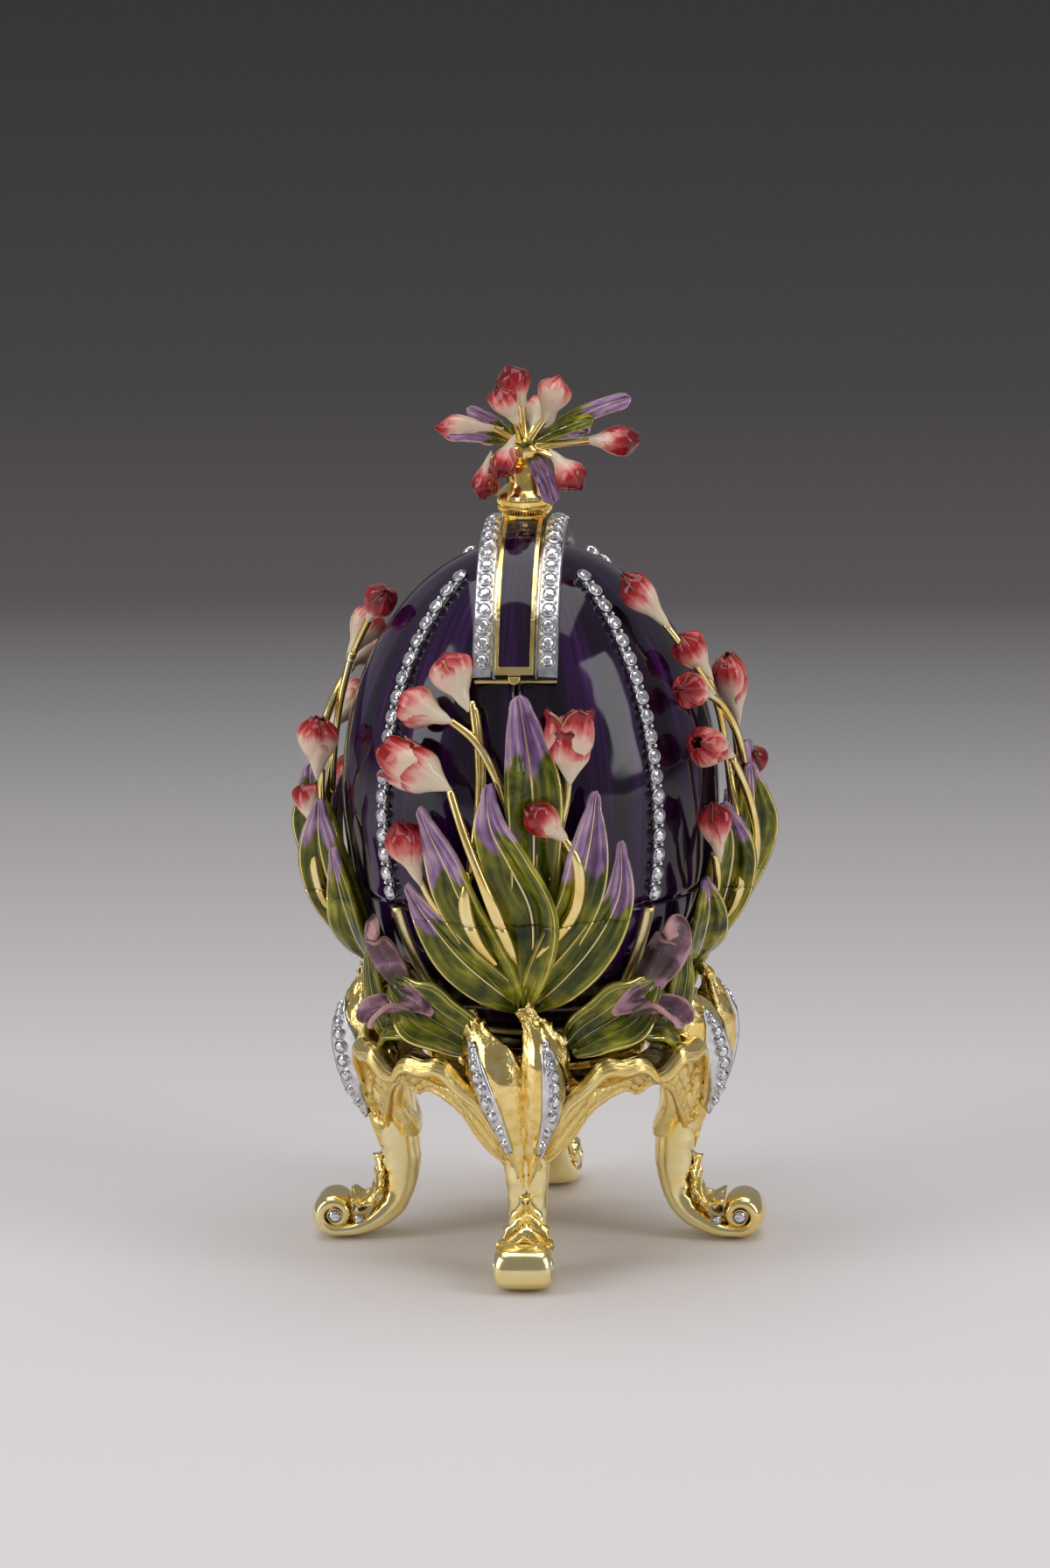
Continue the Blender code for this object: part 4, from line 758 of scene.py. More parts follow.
def buildBar():
    half, top, floor, backZ = bar["half"], bar["top"], bar["floor"], bar["backZ"]
    low = strap["step"] + bar["clearance"]
    inner = half - bar["border"]
    shoulder = half - bar["round"]
    left = [(-half, low), (half, low), (half, top - 0.25), (shoulder, top)]
    right = [(-shoulder, top), (-half, top - 0.25)]
    hollow = [(inner + 0.08, top), (inner, top - 0.15), (inner, floor), (-inner, floor), (-inner, top - 0.15),
              (-inner - 0.08, top)]
    border = 1.0 / bar["length"]
    pieces = [strapLoft("barFrame", left + hollow + right, backZ, polishedGold),
              strapLoft("barFront", left + right, backZ, polishedGold, 3, 0.0, border),
              strapLoft("barBack", left + right, backZ, polishedGold, 3, 1.0 - border, 1.0)]
    point, out = overTop(backZ, 0.0)
    down = (point - overTop(backZ, 0.01)[0]).normalized()

    def tonguePoint(u, v):
        # a small rounded tongue that covers the slit
        flat = u * 2.0 - 1.0
        width = bar["tongueHalf"] * math.sqrt(max(0.0, 1.0 - v * v)) + 0.05
        drop = down * (bar["tongueLong"] * v) + out * (low + 0.9 - 0.3 * v)
        return (point + Vector((flat * width, 0, 0)) + drop) * mm

    pieces.append(thicken(gridPiece("barTongue", 7, 7, tonguePoint, polishedGold), 0.5))
    frameBar = joined("claspBar", pieces)
    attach(frameBar, "clasp")
    fill = [(-inner, floor - 0.2), (inner, floor - 0.2), (inner, top - 0.22), (0.0, top - 0.08),
            (-inner, top - 0.22)]
    collar = bar["collarRoom"] / bar["length"]
    for name, tFrom, tTo, node in (("claspInlayFront", border, 0.5 - collar, "clasp_inlay_front"),
                                   ("claspInlayBack", 0.5 + collar, 1.0 - border, "clasp_inlay_back")):
        inlay = strapLoft(name, fill, backZ, purpleEnamel, 28, tFrom, tTo)
        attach(inlay, "clasp")
        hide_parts(node)


buildStrap()
buildBar()
print("strap made")


# leaves and flowers
leafLook = {"thick": 0.7, "rim": 0.16, "midrib": 0.15, "pillow": 0.46, "wave": 0.12, "fullAt": 1.8,
            "least": 0.06, "lilacBlend": 0.16}


def leafPiece(name, pathAt, outAt, half, material, tipStart, cupped=0.30, rows=34, columns=17, fold=0.0):
    # pathAt(v) gives the midrib in metres, outAt(v) the way it faces, half(v) the half width in millimetres
    step = 0.02

    def pointAt(u, v):
        side = u * 2.0 - 1.0
        ahead = (pathAt(min(v + step, 1.0)) - pathAt(max(v - step, 0.0))).normalized()
        cross = ahead.cross(outAt(v)).normalized()
        out = cross.cross(ahead).normalized()
        wide = max(half(v), leafLook["least"])
        detail = leafLook["rim"] * bump(abs(side), 0.95, 0.06) + leafLook["midrib"] * bump(side, 0.0, 0.07)
        detail += leafLook["pillow"] * bump(abs(side), 0.52, 0.26)
        detail += leafLook["wave"] * math.sin(9.0 * v + 3.0 * side)
        turned = fold * (max(side, 0.0) ** 2 - 0.5 * max(-side, 0.0) ** 2)
        rise = wide * (cupped * side * side + turned) + detail * min(1.0, wide / leafLook["fullAt"])
        return pathAt(v) + cross * (side * wide * mm) + out * (rise * mm)

    def lilac(u, v):
        wave = 0.05 * math.sin(u * 9.0 + tipStart * 40.0)
        return ease(v + wave, tipStart - leafLook["lilacBlend"], tipStart + leafLook["lilacBlend"])

    return thicken(gridPiece(name, rows, columns, pointAt, material, tone=lilac), leafLook["thick"])


# A tulip's closed and open outline, and the length of each of its six petals.
tulipLook = {"closed": [(0.06,), (0.29,), (0.46,), (0.80,), (1.03,), (0.94,), (0.10,)],
             "open": [(0.06,), (0.33,), (0.66,), (0.98,), (1.08,), (1.14,), (1.20,)],
             "lengths": (1.0, 0.96, 0.98, 0.97, 1.0, 0.95), "setBack": 1.1, "outerSpread": 68.0,
             "innerSpread": 64.0, "innerSize": 0.90, "innerDrop": 0.28, "innerBlush": 0.10, "lip": 0.22,
             "thick": 0.34}


def tulipPiece(name, base, tip, radius, openness, blush, facing, spin=0.0):
    # three outer petals and three inner ones that show between them
    axis = (tip - base).normalized()
    base = base - axis * (tulipLook["setBack"] * mm)
    length = (tip - base).length
    front = (facing - axis * facing.dot(axis)).normalized()
    side = axis.cross(front)
    parts = []
    for number in range(6):
        inner = number > 2
        turn = (number % 3) * 120.0 + (60.0 if inner else 0.0) + spin
        size = (tulipLook["innerSize"] if inner else 1.0) * radius * mm
        reach = tulipLook["lengths"][number] * (1.0 - tulipLook["innerDrop"] * openness * inner)
        spread = math.radians(tulipLook["innerSpread" if inner else "outerSpread"])

        def pointAt(u, v):
            flat = u * 2.0 - 1.0
            shut = smoothBetween(tulipLook["closed"], v)[0]
            wide = smoothBetween(tulipLook["open"], v)[0]
            past = max(0.0, (v - 0.55) / 0.45)
            angle = math.radians(turn) + flat * spread * math.sqrt(max(0.0, 1.0 - openness * past ** 2.6))
            crest = 1.0 - 0.06 * bump(abs(flat), 1.0, 0.3) + 0.05 * bump(flat, 0.0, 0.4) * ease(v, 0.2, 0.6)
            crest += ripple((flat + turn, 2.2 * v, base.x * 900.0), 1.3, 0.16) * ease(v, 0.15, 0.5)
            lip = tulipLook["lip"] * openness * ease(v, 0.86, 1.0)
            ring = size * ((shut + (wide - shut) * openness) * crest + lip)
            high = length * (reach * v + 0.02 * math.sin(5.0 * flat + turn) * ease(v, 0.5, 1.0))
            return base + axis * high + (front * math.cos(angle) + side * math.sin(angle)) * ring

        def tone(u, v):
            return v * 0.94 + blush + inner * tulipLook["innerBlush"]

        petal = gridPiece("petal", 18, 13, pointAt, tulipEnamel, tone=tone, sharp=75.0)
        parts.append(thicken(petal, tulipLook["thick"]))
    return joined(name, parts)


# Sprays. A station is the angle from the spray's middle, the height, the offset from the egg, and for a leaf
# the half width.
sprayLook = {
    # name, start of the lilac tip, roll, stations
    "leaves": [
        ("Tall", 0.7, 6, [(1, 43.4, 1.8, 1.6), (4, 54.4, 2.2, 3.2), (5, 65.8, 3.2, 3.7),
            (5, 75.9, 4, 4.1), (3.5, 82.6, 4.5, 2.8), (1.5, 88.4, 4.8, 1.2)]),
        ("Centre", 0.74, -10, [(0, 43, 3, 1.3), (4, 51.3, 3.6, 3), (4, 59, 4.5, 4.2),
            (-1, 65.8, 5.3, 3.9), (-5.5, 71.3, 5.5, 2.6), (-6.5, 77, 5.4, 0.3)]),
        ("LeftInner", 0.66, -6, [(-1, 43.6, 2.6, 1.1), (-9, 52.4, 3.3, 2.9), (-15, 60, 4.2, 3.5),
            (-19, 66.3, 4.7, 2.9), (-25.7, 73.2, 4.8, 0.3)]),
        ("LeftLow", 0.74, 8, [(0, 42.4, 2.4, 1.1), (-8, 45.8, 2.9, 3), (-18, 50.8, 3.5, 3.4),
            (-25, 56.4, 4, 2.4), (-31.2, 61.9, 4.4, 0.3)]),
        ("RightInner", 0.66, 6, [(2, 43.6, 2.6, 1.1), (9, 51.4, 3.2, 2.9), (16, 60, 4.2, 3.5),
            (19, 67.4, 4.7, 3), (21.6, 75.6, 4.8, 0.3)]),
        ("RightLow", 0.7, -8, [(2, 42.4, 2.4, 1.1), (12, 46.6, 3, 3), (22, 53, 3.7, 3.3),
            (28, 60.5, 4.3, 2.2), (28, 68.3, 4.5, 0.3)]),
        ("Back", 0.95, 0, [(2, 43.9, 1.2, 1.4), (8, 52.8, 1.8, 3.4), (11, 60.9, 2.2, 3.6),
            (10, 67.8, 2.4, 2.2), (9, 72.8, 2.6, 0.3)]),
    ],
    # name, radius, shares of it along the stem, stations
    "stems": [
        ("StemA", 0.62, [1, 0.9, 0.9, 1, 1.1], [(-13, 87.8, 3.2), (-10.5, 81.5, 2.6), (-10, 74.8, 2.4),
            (-11, 68.8, 3.2), (-12, 63.8, 4.4)]),
        ("StemB", 0.55, [1, 0.9, 0.9, 0.8], [(-12, 87, 3), (-9.4, 81.5, 2.4), (-9, 74.8, 2.2),
            (-10, 67.8, 2.6)]),
        ("StemC", 0.66, [1, 1, 1, 0.8], [(-19, 85.1, 3.4), (-11, 82.6, 3.4), (-5, 78.2, 3.8),
            (-1.5, 73.3, 4)]),
        ("StemD", 0.7, [0.9, 1, 1.1, 1.5, 1.2, 0.5], [(-17, 75.9, 4.4), (-13, 70.8, 5.4),
            (-8.5, 64.8, 6.2), (-5, 59.5, 6), (-2, 54.2, 5.2), (-0.5, 51.1, 4.2)]),
        ("Ribbon", 0.8, [0.7, 1.4, 1.2, 0.4], [(-12, 64.8, 4.8), (-13, 60, 5.6), (-11, 55.1, 5.2),
            (-6.5, 50.7, 4)]),
        ("StemE", 0.62, [1, 1, 0.8], [(-27, 63.4, 4), (-23.5, 59.5, 3.9), (-18, 55.5, 3.2)]),
        ("StemF", 0.85, [0.7, 1.1, 1.2, 1.1, 0.4], [(12.5, 69.8, 4.9), (16, 65.8, 5.6), (15.5, 60, 5.6),
            (10, 55.1, 4.9), (5, 52, 4)]),
        ("StemG", 0.58, [1, 0.9, 0.9, 0.9], [(15, 78.2, 3.6), (14, 73.8, 3.4), (11, 67.8, 3),
            (9, 62.9, 2.8)]),
    ],
    # base, tip, radius, openness, blush, spin
    "tulips": [
        ((-14.5, 87.2, 3.6), (-24.5, 93.2, 4.2), 3.1, 0.02, -0.06, 60),
        ((-19.5, 85.1, 4), (-36, 86.9, 4.4), 3, 0.08, -0.04, 0),
        ((-18, 76.3, 4.6), (-36, 79.9, 5), 3.3, 0.8, -0.08, 30),
        ((-26.5, 63.1, 4.6), (-31.5, 71.2, 5), 3, 0.05, 0.04, 0),
        ((13, 69.4, 5), (3.5, 74.2, 5.4), 2.6, 0.15, 0.06, 0),
        ((15, 77.5, 4.2), (16.2, 86.4, 5.2), 3.3, 0.85, -0.05, 30),
    ],
    "foot": 44.0, "sideTurn": 28.0, "sideFan": 18.0, "sideTip": 0.14, "sideOpen": 0.3, "sideSize": 0.84,
}
# The side sprays have one stem and one flower more, and lower leaves.
sideSprays = {
    "left": {"tallShare": 0.66, "leafShare": 0.84, "flowerShare": 0.88,
             "tulip": ((-9, 93.2, 2.8), (13, 98.4, 3.8), 2.8, 0.1, 0.06, 0),
             "stem": ("StemTop", 0.6, [0.9, 0.9, 1], [(-13, 79, 3), (-15, 87, 3.2), (-9, 93.6, 2.8)])},
    "right": {"tallShare": 0.72, "leafShare": 0.9, "flowerShare": 1,
              "tulip": ((-27, 94.8, 3.8), (-34, 101.4, 4.2), 2.8, 0.1, 0.04, 0),
              "stem": ("StemTop", 0.6, [0.9, 0.9, 1], [(-13, 84, 3.2), (-22, 90, 3.6), (-27, 95, 3.6)])},
}


def lowered(stations, share):
    # the stations with their heights drawn down towards the spray's foot
    foot = sprayLook["foot"]
    return [(a, foot + (z - foot) * share, *others) for a, z, *others in stations]


def sprayParts(prefix):
    leaves, stems, tulips = sprayLook["leaves"], sprayLook["stems"], sprayLook["tulips"]
    if prefix not in sideSprays:
        return leaves, stems, tulips
    side = sideSprays[prefix]

    def share(station):
        return side["flowerShare"] if station[0] > 0 else 1.0

    leaves = [(name, tip, roll, lowered(stations, side["tallShare" if name == "Tall" else "leafShare"]))
              for name, tip, roll, stations in leaves]
    stems = [(*look, lowered(stations, share(stations[0]))) for *look, stations in stems]
    tulips = [(*lowered((base, tip), share(base)), *look) for base, tip, *look in tulips]
    return leaves, stems + [side["stem"]], tulips + [side["tulip"]]


def sprayPieces(prefix, azimuth, facing):
    # facing turns the leaves of a side spray towards the front, and keeps its flowers nearly shut
    leaves, stems, tulips = sprayParts(prefix)
    made = []
    for name, tip, roll, stations in leaves:
        def pathAt(v):
            a, z, offset, _ = smoothBetween(stations, v)
            return onEgg(azimuth + a, z, offset)

        def outAt(v):
            a, z, _, _ = smoothBetween(stations, v)
            fan = sprayLook["sideFan"] * max(-1.0, min(1.0, a / 12.0)) if facing else 0.0
            return eggOut(azimuth + a + roll * 2.0 + facing * sprayLook["sideTurn"] + fan, z)

        def half(v):
            return smoothBetween(stations, min(v, 0.91))[3] * bluntEnd(v, 0.84)

        tipStart = tip + (sprayLook["sideTip"] if facing else 0.0)
        made.append(leafPiece(f"{prefix}Leaf{name}", pathAt, outAt, half, leafEnamel, tipStart))
    for name, radius, radii, stations in stems:
        made.append(wire(prefix + name, [onEgg(azimuth + a, z, offset) for a, z, offset in stations], radius,
                         polishedGold, radii))
    flowers = []
    for number, (base, tip, radius, openness, blush, spin) in enumerate(tulips):
        ends = [onEgg(azimuth + a, z, offset) for a, z, offset in (base, tip)]
        if facing:
            openness *= sprayLook["sideOpen"]
            radius *= sprayLook["sideSize"]
        flowers.append(tulipPiece(f"{prefix}Tulip{number + 1}", *ends, radius, openness, blush,
                                  eggOut(azimuth + base[0], base[1]), spin))
    return made, flowers


def buildSpray(prefix, azimuth, door, upperNode, lowerNode, tulipNodes):
    facing = -math.copysign(1.0, azimuth) if prefix in sideSprays else 0.0
    leaves, flowers = sprayPieces(prefix, azimuth, facing)
    upper = lower = None
    for piece in leaves:
        for part, side in cutAtSeam(piece):
            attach(part, door if side > 0 else "stand")
            if side > 0:
                upper = upper or part
            else:
                lower = lower or part
    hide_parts(upperNode)
    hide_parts(lowerNode)
    for number, flower in enumerate(flowers):
        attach(flower, door)
        if tulipNodes:
            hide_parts(f"{tulipNodes}_{number + 1}")


buildSpray("front", 0.0, "left_door", "front_spray", "front_leaf_base", "front_tulip")
buildSpray("left", -90.0, "left_door", "left_spray", "left_leaf_base", None)
buildSpray("right", 90.0, "right_door", "right_spray", "right_leaf_base", None)
print("sprays made")


# Stand. A leg's path gives reach, height, half depth and half width, and the leaf on its ankle gives reach,
# height and half width. The stones beside its scroll have shift and lift from the scroll's middle, the
# distance to the side, and the radius.
legLook = {
    "path": [(21.6, 27, 2, 4.4), (21.4, 22.5, 2.6, 4.2), (21.2, 17.9, 3, 3.6), (20.7, 12.2, 2.9, 3.05),
             (21, 8, 2.4, 2.9), (22.2, 4.9, 2.1, 3.3), (24.6, 2.8, 1.8, 3.8), (27.6, 1.5, 1.4, 4.2),
             (30.8, 1.2, 1.2, 4.35)],
    "scroll": (30.8, 3.7), "scrollRadius": 2.5, "turns": 1.15, "shank": 0.62, "roundness": 0.8,
    "squarer": 0.22,
    "ankle": [(23.7, 12.3, 0.2), (23.6, 9.9, 1.6), (23.8, 7.8, 2.7), (24.8, 6, 3.5), (26.6, 5.3, 4),
              (28.4, 5.9, 4.1)],
    "stones": ((0.0, 0.0, 4.15, 1.15), (-3.6, -0.6, 3.65, 0.8)), "cupDepth": 1.0,
}


def spiralPoint(t):
    # from under the scroll's middle, round its outer side and in to the eye
    reach = legLook["scrollRadius"] * (1.0 - 0.62 * t)
    a = math.radians(-90.0 + 360.0 * legLook["turns"] * t)
    middle = legLook["scroll"]
    return middle[0] + reach * math.cos(a), middle[1] + reach * math.sin(a), 1.2 - 0.7 * t, 4.35 - 0.3 * t


def legPiece(name, azimuth):
    out, side = axes(azimuth)
    shank = legLook["shank"]
    step = 0.006

    def station(v):
        if v <= shank:
            return smoothBetween(legLook["path"], v / shank)
        return spiralPoint((v - shank) / (1.0 - shank))

    def pointAt(u, v):
        midReach, midZ, deep, wide = station(v)
        back, front = station(max(v - step, 0.0)), station(min(v + step, 1.0))
        ahead = Vector((front[0] - back[0], front[1] - back[1])).normalized()
        a = 2 * math.pi * u
        c, s = math.cos(a), math.sin(a)
        foot = ease(v, shank, shank + 0.08)
        crown = -0.5 * (1.0 - s * s) * foot * ease(v, 0.99, 0.85)
        square = legLook["roundness"] - legLook["squarer"] * foot
        c, s = (math.copysign(abs(value) ** square, value) for value in (c, s))
        reach = midReach - ahead.y * (deep * c + crown)
        z = max(midZ + ahead.x * (deep * c + crown), 0.05)
        point = out * reach + side * (wide * s) + upward * z
        outer = ease(reach - midReach, 0.2, 1.6) * ease(v, shank, 0.75 * shank)
        rough = ripple(point, 0.45, 0.20) + ripple(point, 1.1, 0.45) * outer
        return (point + out * rough * ease(v, shank, 0.8 * shank)) * mm

    pieces = [gridPiece("legBody", 110, 32, pointAt, satinGold, True, None, True, 60.0)]
    made = bmesh.new()
    centre = place(azimuth, *legLook["scroll"])
    for way in (-1, 1):
        for shift, lift, apart, size in legLook["stones"]:
            seat = centre + side * (way * apart) + out * shift + upward * lift
            setStone(made, seat, side * way, size, legLook["cupDepth"], stoneLook["fill"] * size, 0.05)
    pieces.append(stoneMesh("legStones", made, polishedGold))

    def panelAt(u, v):
        # a carved leaf spreads down the ankle on to the scroll
        flat = u * 2.0 - 1.0
        reach, z, wide = smoothBetween(legLook["ankle"], v)
        lean = (out * (1.0 - 0.75 * v) + upward * (0.1 + 0.9 * v)).normalized()
        ridges = 0.17 * math.cos(2.0 * math.pi * (4.2 * v - 1.2 * abs(flat)))
        carve = 0.35 + ridges + 0.3 * bump(flat, 0.0, 0.10) - 0.7 * flat * flat
        jag = 0.18 * math.sin(v * 60.0) * abs(flat) ** 4
        return (out * reach + side * (flat * wide + jag * flat) + upward * z + lean * carve) * mm

    pieces.append(thicken(gridPiece("anklePanel", 40, 21, panelAt, castGold), 0.7))
    return joined(name, pieces)


# Two petals of the big flower over each leg: height, left and right edge, reach, bulge.
headLook = {
    "left": [(13.6, -0.6, 0.2, 22.6, 1.4), (16.8, -2.2, 0.2, 23.4, 1.6), (21, -4.4, 0.7, 24.6, 2.2),
             (25.5, -6.8, 0.9, 26, 3), (29.5, -8.7, 0.8, 26.8, 3.4), (33.5, -10.2, -0.3, 26.9, 3.2),
             (36.3, -10.6, -2.4, 26.6, 2.4), (38.4, -10.2, -5.6, 26.2, 1.4), (40, -9.1, -8.2, 25.8, 0.4)],
    "right": [(13.6, 0, 0.8, 22.6, 1.4), (16.8, 0, 2.4, 23.4, 1.6), (20, -0.4, 3.8, 24.4, 2),
              (24.5, -0.5, 6, 26, 3), (29, -0.5, 6.8, 26.9, 3.5), (33.2, -0.2, 6.9, 27.1, 3.5),
              (36.6, 0.1, 6.4, 26.7, 2.8), (39.4, 0.1, 3.9, 26.1, 1.8), (41.6, -0.2, 1, 25.7, 0.5)],
    "strips": {"left": [(-7.5, 36.9), (-6.7, 32.0), (-4.7, 26.5), (-2.2, 19.8)],
               "right": [(3.6, 37.6), (5.0, 32.6), (4.8, 26.5), (2.4, 19.2)]},
    "stripHalf": 1.55, "stripLength": 18.0, "wrap": 0.05, "thick": 1.2, "coreLow": 16.2, "coreTall": 18.5,
}


def headSurface(azimuth, keys, outer):
    # outer is the side of the petal away from its neighbour, -1 or 1
    out, side = axes(azimuth)

    def pointAt(u, v):
        z, left, right, reach, bulge = smoothBetween(keys, v)
        flat = u * 2.0 - 1.0
        x = (left + right) / 2 + (right - left) / 2 * flat
        swell = bulge * (1.0 - flat * flat) + 0.35 * bump(abs(flat), 0.93, 0.10) - headLook["wrap"] * x * x
        point = out * (reach + swell) + side * x + upward * (z + 0.5 * flat * flat)
        edge = max(ease(outer * flat, 0.5, 0.95), 0.25 * ease(-outer * flat, 0.6, 0.95), ease(v, 0.76, 0.96))
        carve = ripple(point, 0.35, 0.15) + (ripple(point, 0.8, 0.7) + ripple(point, 1.7, 0.35)) * edge
        jag = side * (ripple(point, 0.9, 0.6) * edge) + upward * (ripple(point, 1.1, 0.8) * edge)
        return (point + out * carve + jag) * mm

    return pointAt


def headPiece(name, azimuth):
    out, side = axes(azimuth)
    pieces = []
    made = bmesh.new()
    for which, outer in (("left", -1), ("right", 1)):
        rows, strip = headLook[which], headLook["strips"][which]
        petal = gridPiece("headPetal", 56, 32, headSurface(azimuth, rows, outer), petalGold)
        pieces.append(thicken(petal, headLook["thick"]))

        def stripPoint(t, across, lift):
            # a place on the strip of stones, which follows the petal's swell
            x, z = smoothBetween(strip, t)
            v = 0.0
            while v < 1.0 and smoothBetween(rows, v)[0] < z:
                v += 0.01
            _, left, right, reach, bulge = smoothBetween(rows, v)
            x += across
            flat = (x - (left + right) / 2) / ((right - left) / 2)
            swell = bulge * (1.0 - flat * flat) - headLook["wrap"] * x * x
            return out * (reach + swell + lift) + side * x + upward * z

        def stripAt(u, v):
            flat = u * 2.0 - 1.0
            wide = 0.05 + headLook["stripHalf"] * math.sin(math.pi * v)
            return stripPoint(v, flat * wide, 0.50 + 0.22 * flat ** 4) * mm

        pieces.append(thicken(gridPiece("headStrip", 26, 9, stripAt, brightSilver), 0.6, 1.0))
        t = 0.09
        while t < 0.93:
            size = 0.42 + 0.68 * math.sin(math.pi * t)
            ahead = stripPoint(t + 0.02, 0.0, 0.62) - stripPoint(t - 0.02, 0.0, 0.62)
            over = stripPoint(t, 0.4, 0.62) - stripPoint(t, -0.4, 0.62)
            up = over.cross(ahead).normalized()
            if up.dot(out) < 0:
                up = -up
            setStone(made, stripPoint(t, 0.0, 0.84), up, size, 0.4, stoneLook["fill"] * size, 0.03, 90.0 * t)
            t += 2.0 * size / headLook["stripLength"]
    pieces.append(stoneMesh("headStones", made))

    def coreAt(u, v):
        # solid core behind the petals, down into the leg
        a = 2 * math.pi * u
        wide = 2.6 + 5.2 * math.sin(math.pi * min(1.0, 0.08 + 0.75 * v)) - 1.4 * ease(v, 0.7, 1.0)
        deep = 2.2 + 1.2 * math.sin(math.pi * v)
        reach = 19.8 + 3.6 * ease(v, 0.0, 0.4) + deep * math.cos(a)
        x = wide * math.sin(a)
        point = out * reach + side * x + upward * (headLook["coreLow"] + headLook["coreTall"] * v)
        fold = 0.3 * abs(math.sin(4.5 * a)) * max(0.0, math.cos(a)) - headLook["wrap"] * x * x
        return (point + out * (fold + ripple(point, 0.9, 0.4) * ease(v, 0.3, 0.7))) * mm

    pieces.append(gridPiece("headCore", 44, 60, coreAt, castGold, True, None, True, 60.0))
    return joined(name, pieces)


# Flaring side petals that leave each leg and end in a wavy lip: angle, height and reach of the low edge and
# of the high edge, radius of the roll.
flareLook = {
    "bend": 0.6, "thick": 0.8, "rollTurn": 210.0,
    "keys": [(2, 16.5, 22.8, 18.2, 23.2, 0.3), (9, 17.6, 23, 22.4, 24.2, 0.7),
             (17, 20.5, 23.2, 28, 25.4, 1.1), (24, 24.4, 23.3, 31.4, 26.2, 1.4),
             (31, 26.4, 23.4, 32.4, 26.6, 1.5), (38, 27.3, 23.4, 31.8, 26.8, 1.5),
             (43, 26.6, 23.2, 30.2, 26.4, 1.3), (46, 26.4, 23, 29.2, 25.8, 0.7)],
}


def flarePiece(name, azimuth, way):
    # a fluted band that swings out from the leg's neck and rolls over along its top edge
    bend = flareLook["bend"]

    def pointAt(u, v):
        a, low, inner, high, outer, roll = smoothBetween(flareLook["keys"], v)
        t = min(u / bend, 1.0)
        reach = inner + (outer - inner) * t ** 1.7
        z = low + (high - low) * t
        if u > bend:
            turn = math.radians(flareLook["rollTurn"] * (u - bend) / (1.0 - bend))
            reach += roll * (1.0 - math.cos(turn))
            z += roll * math.sin(turn)
        z += 0.35 * math.sin(0.55 * a) * t
        flute = (0.16 * math.sin(2.1 * a) + 0.22 * math.cos(6.0 * math.pi * t)) * math.sin(math.pi * t)
        return place(azimuth + way * a, reach + flute, z) * mm

    return thicken(gridPiece(name, 60, 26, pointAt, brushedGold), flareLook["thick"], 0.0)


ringLook = {"z": 29.0, "reach": 20.2, "flange": 5.8, "wave": 0.7}


def buildRing():
    def pointAt(u, v):
        azimuth = 360.0 * v
        swing = (azimuth % 90.0) - 45.0
        reach = ringLook["reach"] + ringLook["flange"] * ease(abs(swing), 30.0, 20.0)
        wave = ringLook["wave"] * math.cos(math.radians(swing * 8.0))
        section = [(17.0, -1.2), (17.0, 1.0), (18.6, 1.7), (reach, 1.5 + wave), (reach + 0.6, 0.9 + wave),
                   (reach, 0.4 + wave), (18.8, -1.6)]
        r, z = cornerOf(section, u)
        return place(azimuth, r, ringLook["z"] + z) * mm

    made = gridPiece("cupRing", 193, 7, pointAt, castGold, True, None, False, 60.0)
    soft = made.modifiers.new("soft", "SUBSURF")
    soft.levels = soft.render_levels = 1
    ring = settled(made)
    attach(ring, "stand")
    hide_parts("cup_ring")


# Leaf scrolls at the diagonals, in angle, height, reach and half width: a tall mauve lip, a low one, and
# green leaves that spread from it.
scrollLook = {
    "tall": [(-7, 38.5, 25.2, 1.4), (-4, 42, 26.8, 2), (0, 45.6, 27.8, 2.7), (4, 48.6, 28.8, 3.3),
             (5.5, 51.2, 29.9, 3.1), (3, 53, 31, 2.1), (-1.5, 52.4, 31.6, 0.8)],
    "low": [(-8, 38.6, 26.6, 0.8), (-6, 40.2, 28, 1.6), (-2, 40.8, 29.4, 2.2), (2.5, 40, 30.6, 2.1),
            (6, 38.6, 30.8, 1.4), (7.5, 37.6, 30.2, 0.4)],
    "ear": [(3, 41, 27, 2.4), (-4, 42.6, 27.6, 2.1), (-10, 42, 27.4, 1.5), (-15, 40.4, 26.8, 0.3)],
    "greenBroad": [(28, 35, 23.6, 1.8), (22, 37.4, 25.2, 3.6), (15, 39.4, 26.6, 4.6),
                   (8, 41.4, 27.3, 4.2), (3, 43.2, 27.6, 2.8), (-1, 44.4, 27.6, 0.8)],
    "green": [(27, 31.6, 22.8, 1.6), (21, 33.8, 24.4, 3.2), (13, 36.4, 25.6, 4), (4, 38.4, 26.8, 3.6),
              (-4, 38.2, 27.6, 2.4), (-10, 37, 27.8, 0.5)],
    "greenTall": [(10, 33.5, 24, 2.4), (13, 38, 25.6, 3), (14, 44, 26.8, 2.6), (12, 51, 27.8, 0.5)],
}


def ringPath(keys, azimuth, way):
    def pathAt(v):
        a, z, reach, _ = smoothBetween(keys, v)
        return place(azimuth + way * a, reach, z) * mm

    def outAt(v):
        return place(azimuth + way * smoothBetween(keys, v)[0], 1.0, 0.35).normalized()

    def half(v):
        return smoothBetween(keys, v)[3]

    return pathAt, outAt, half


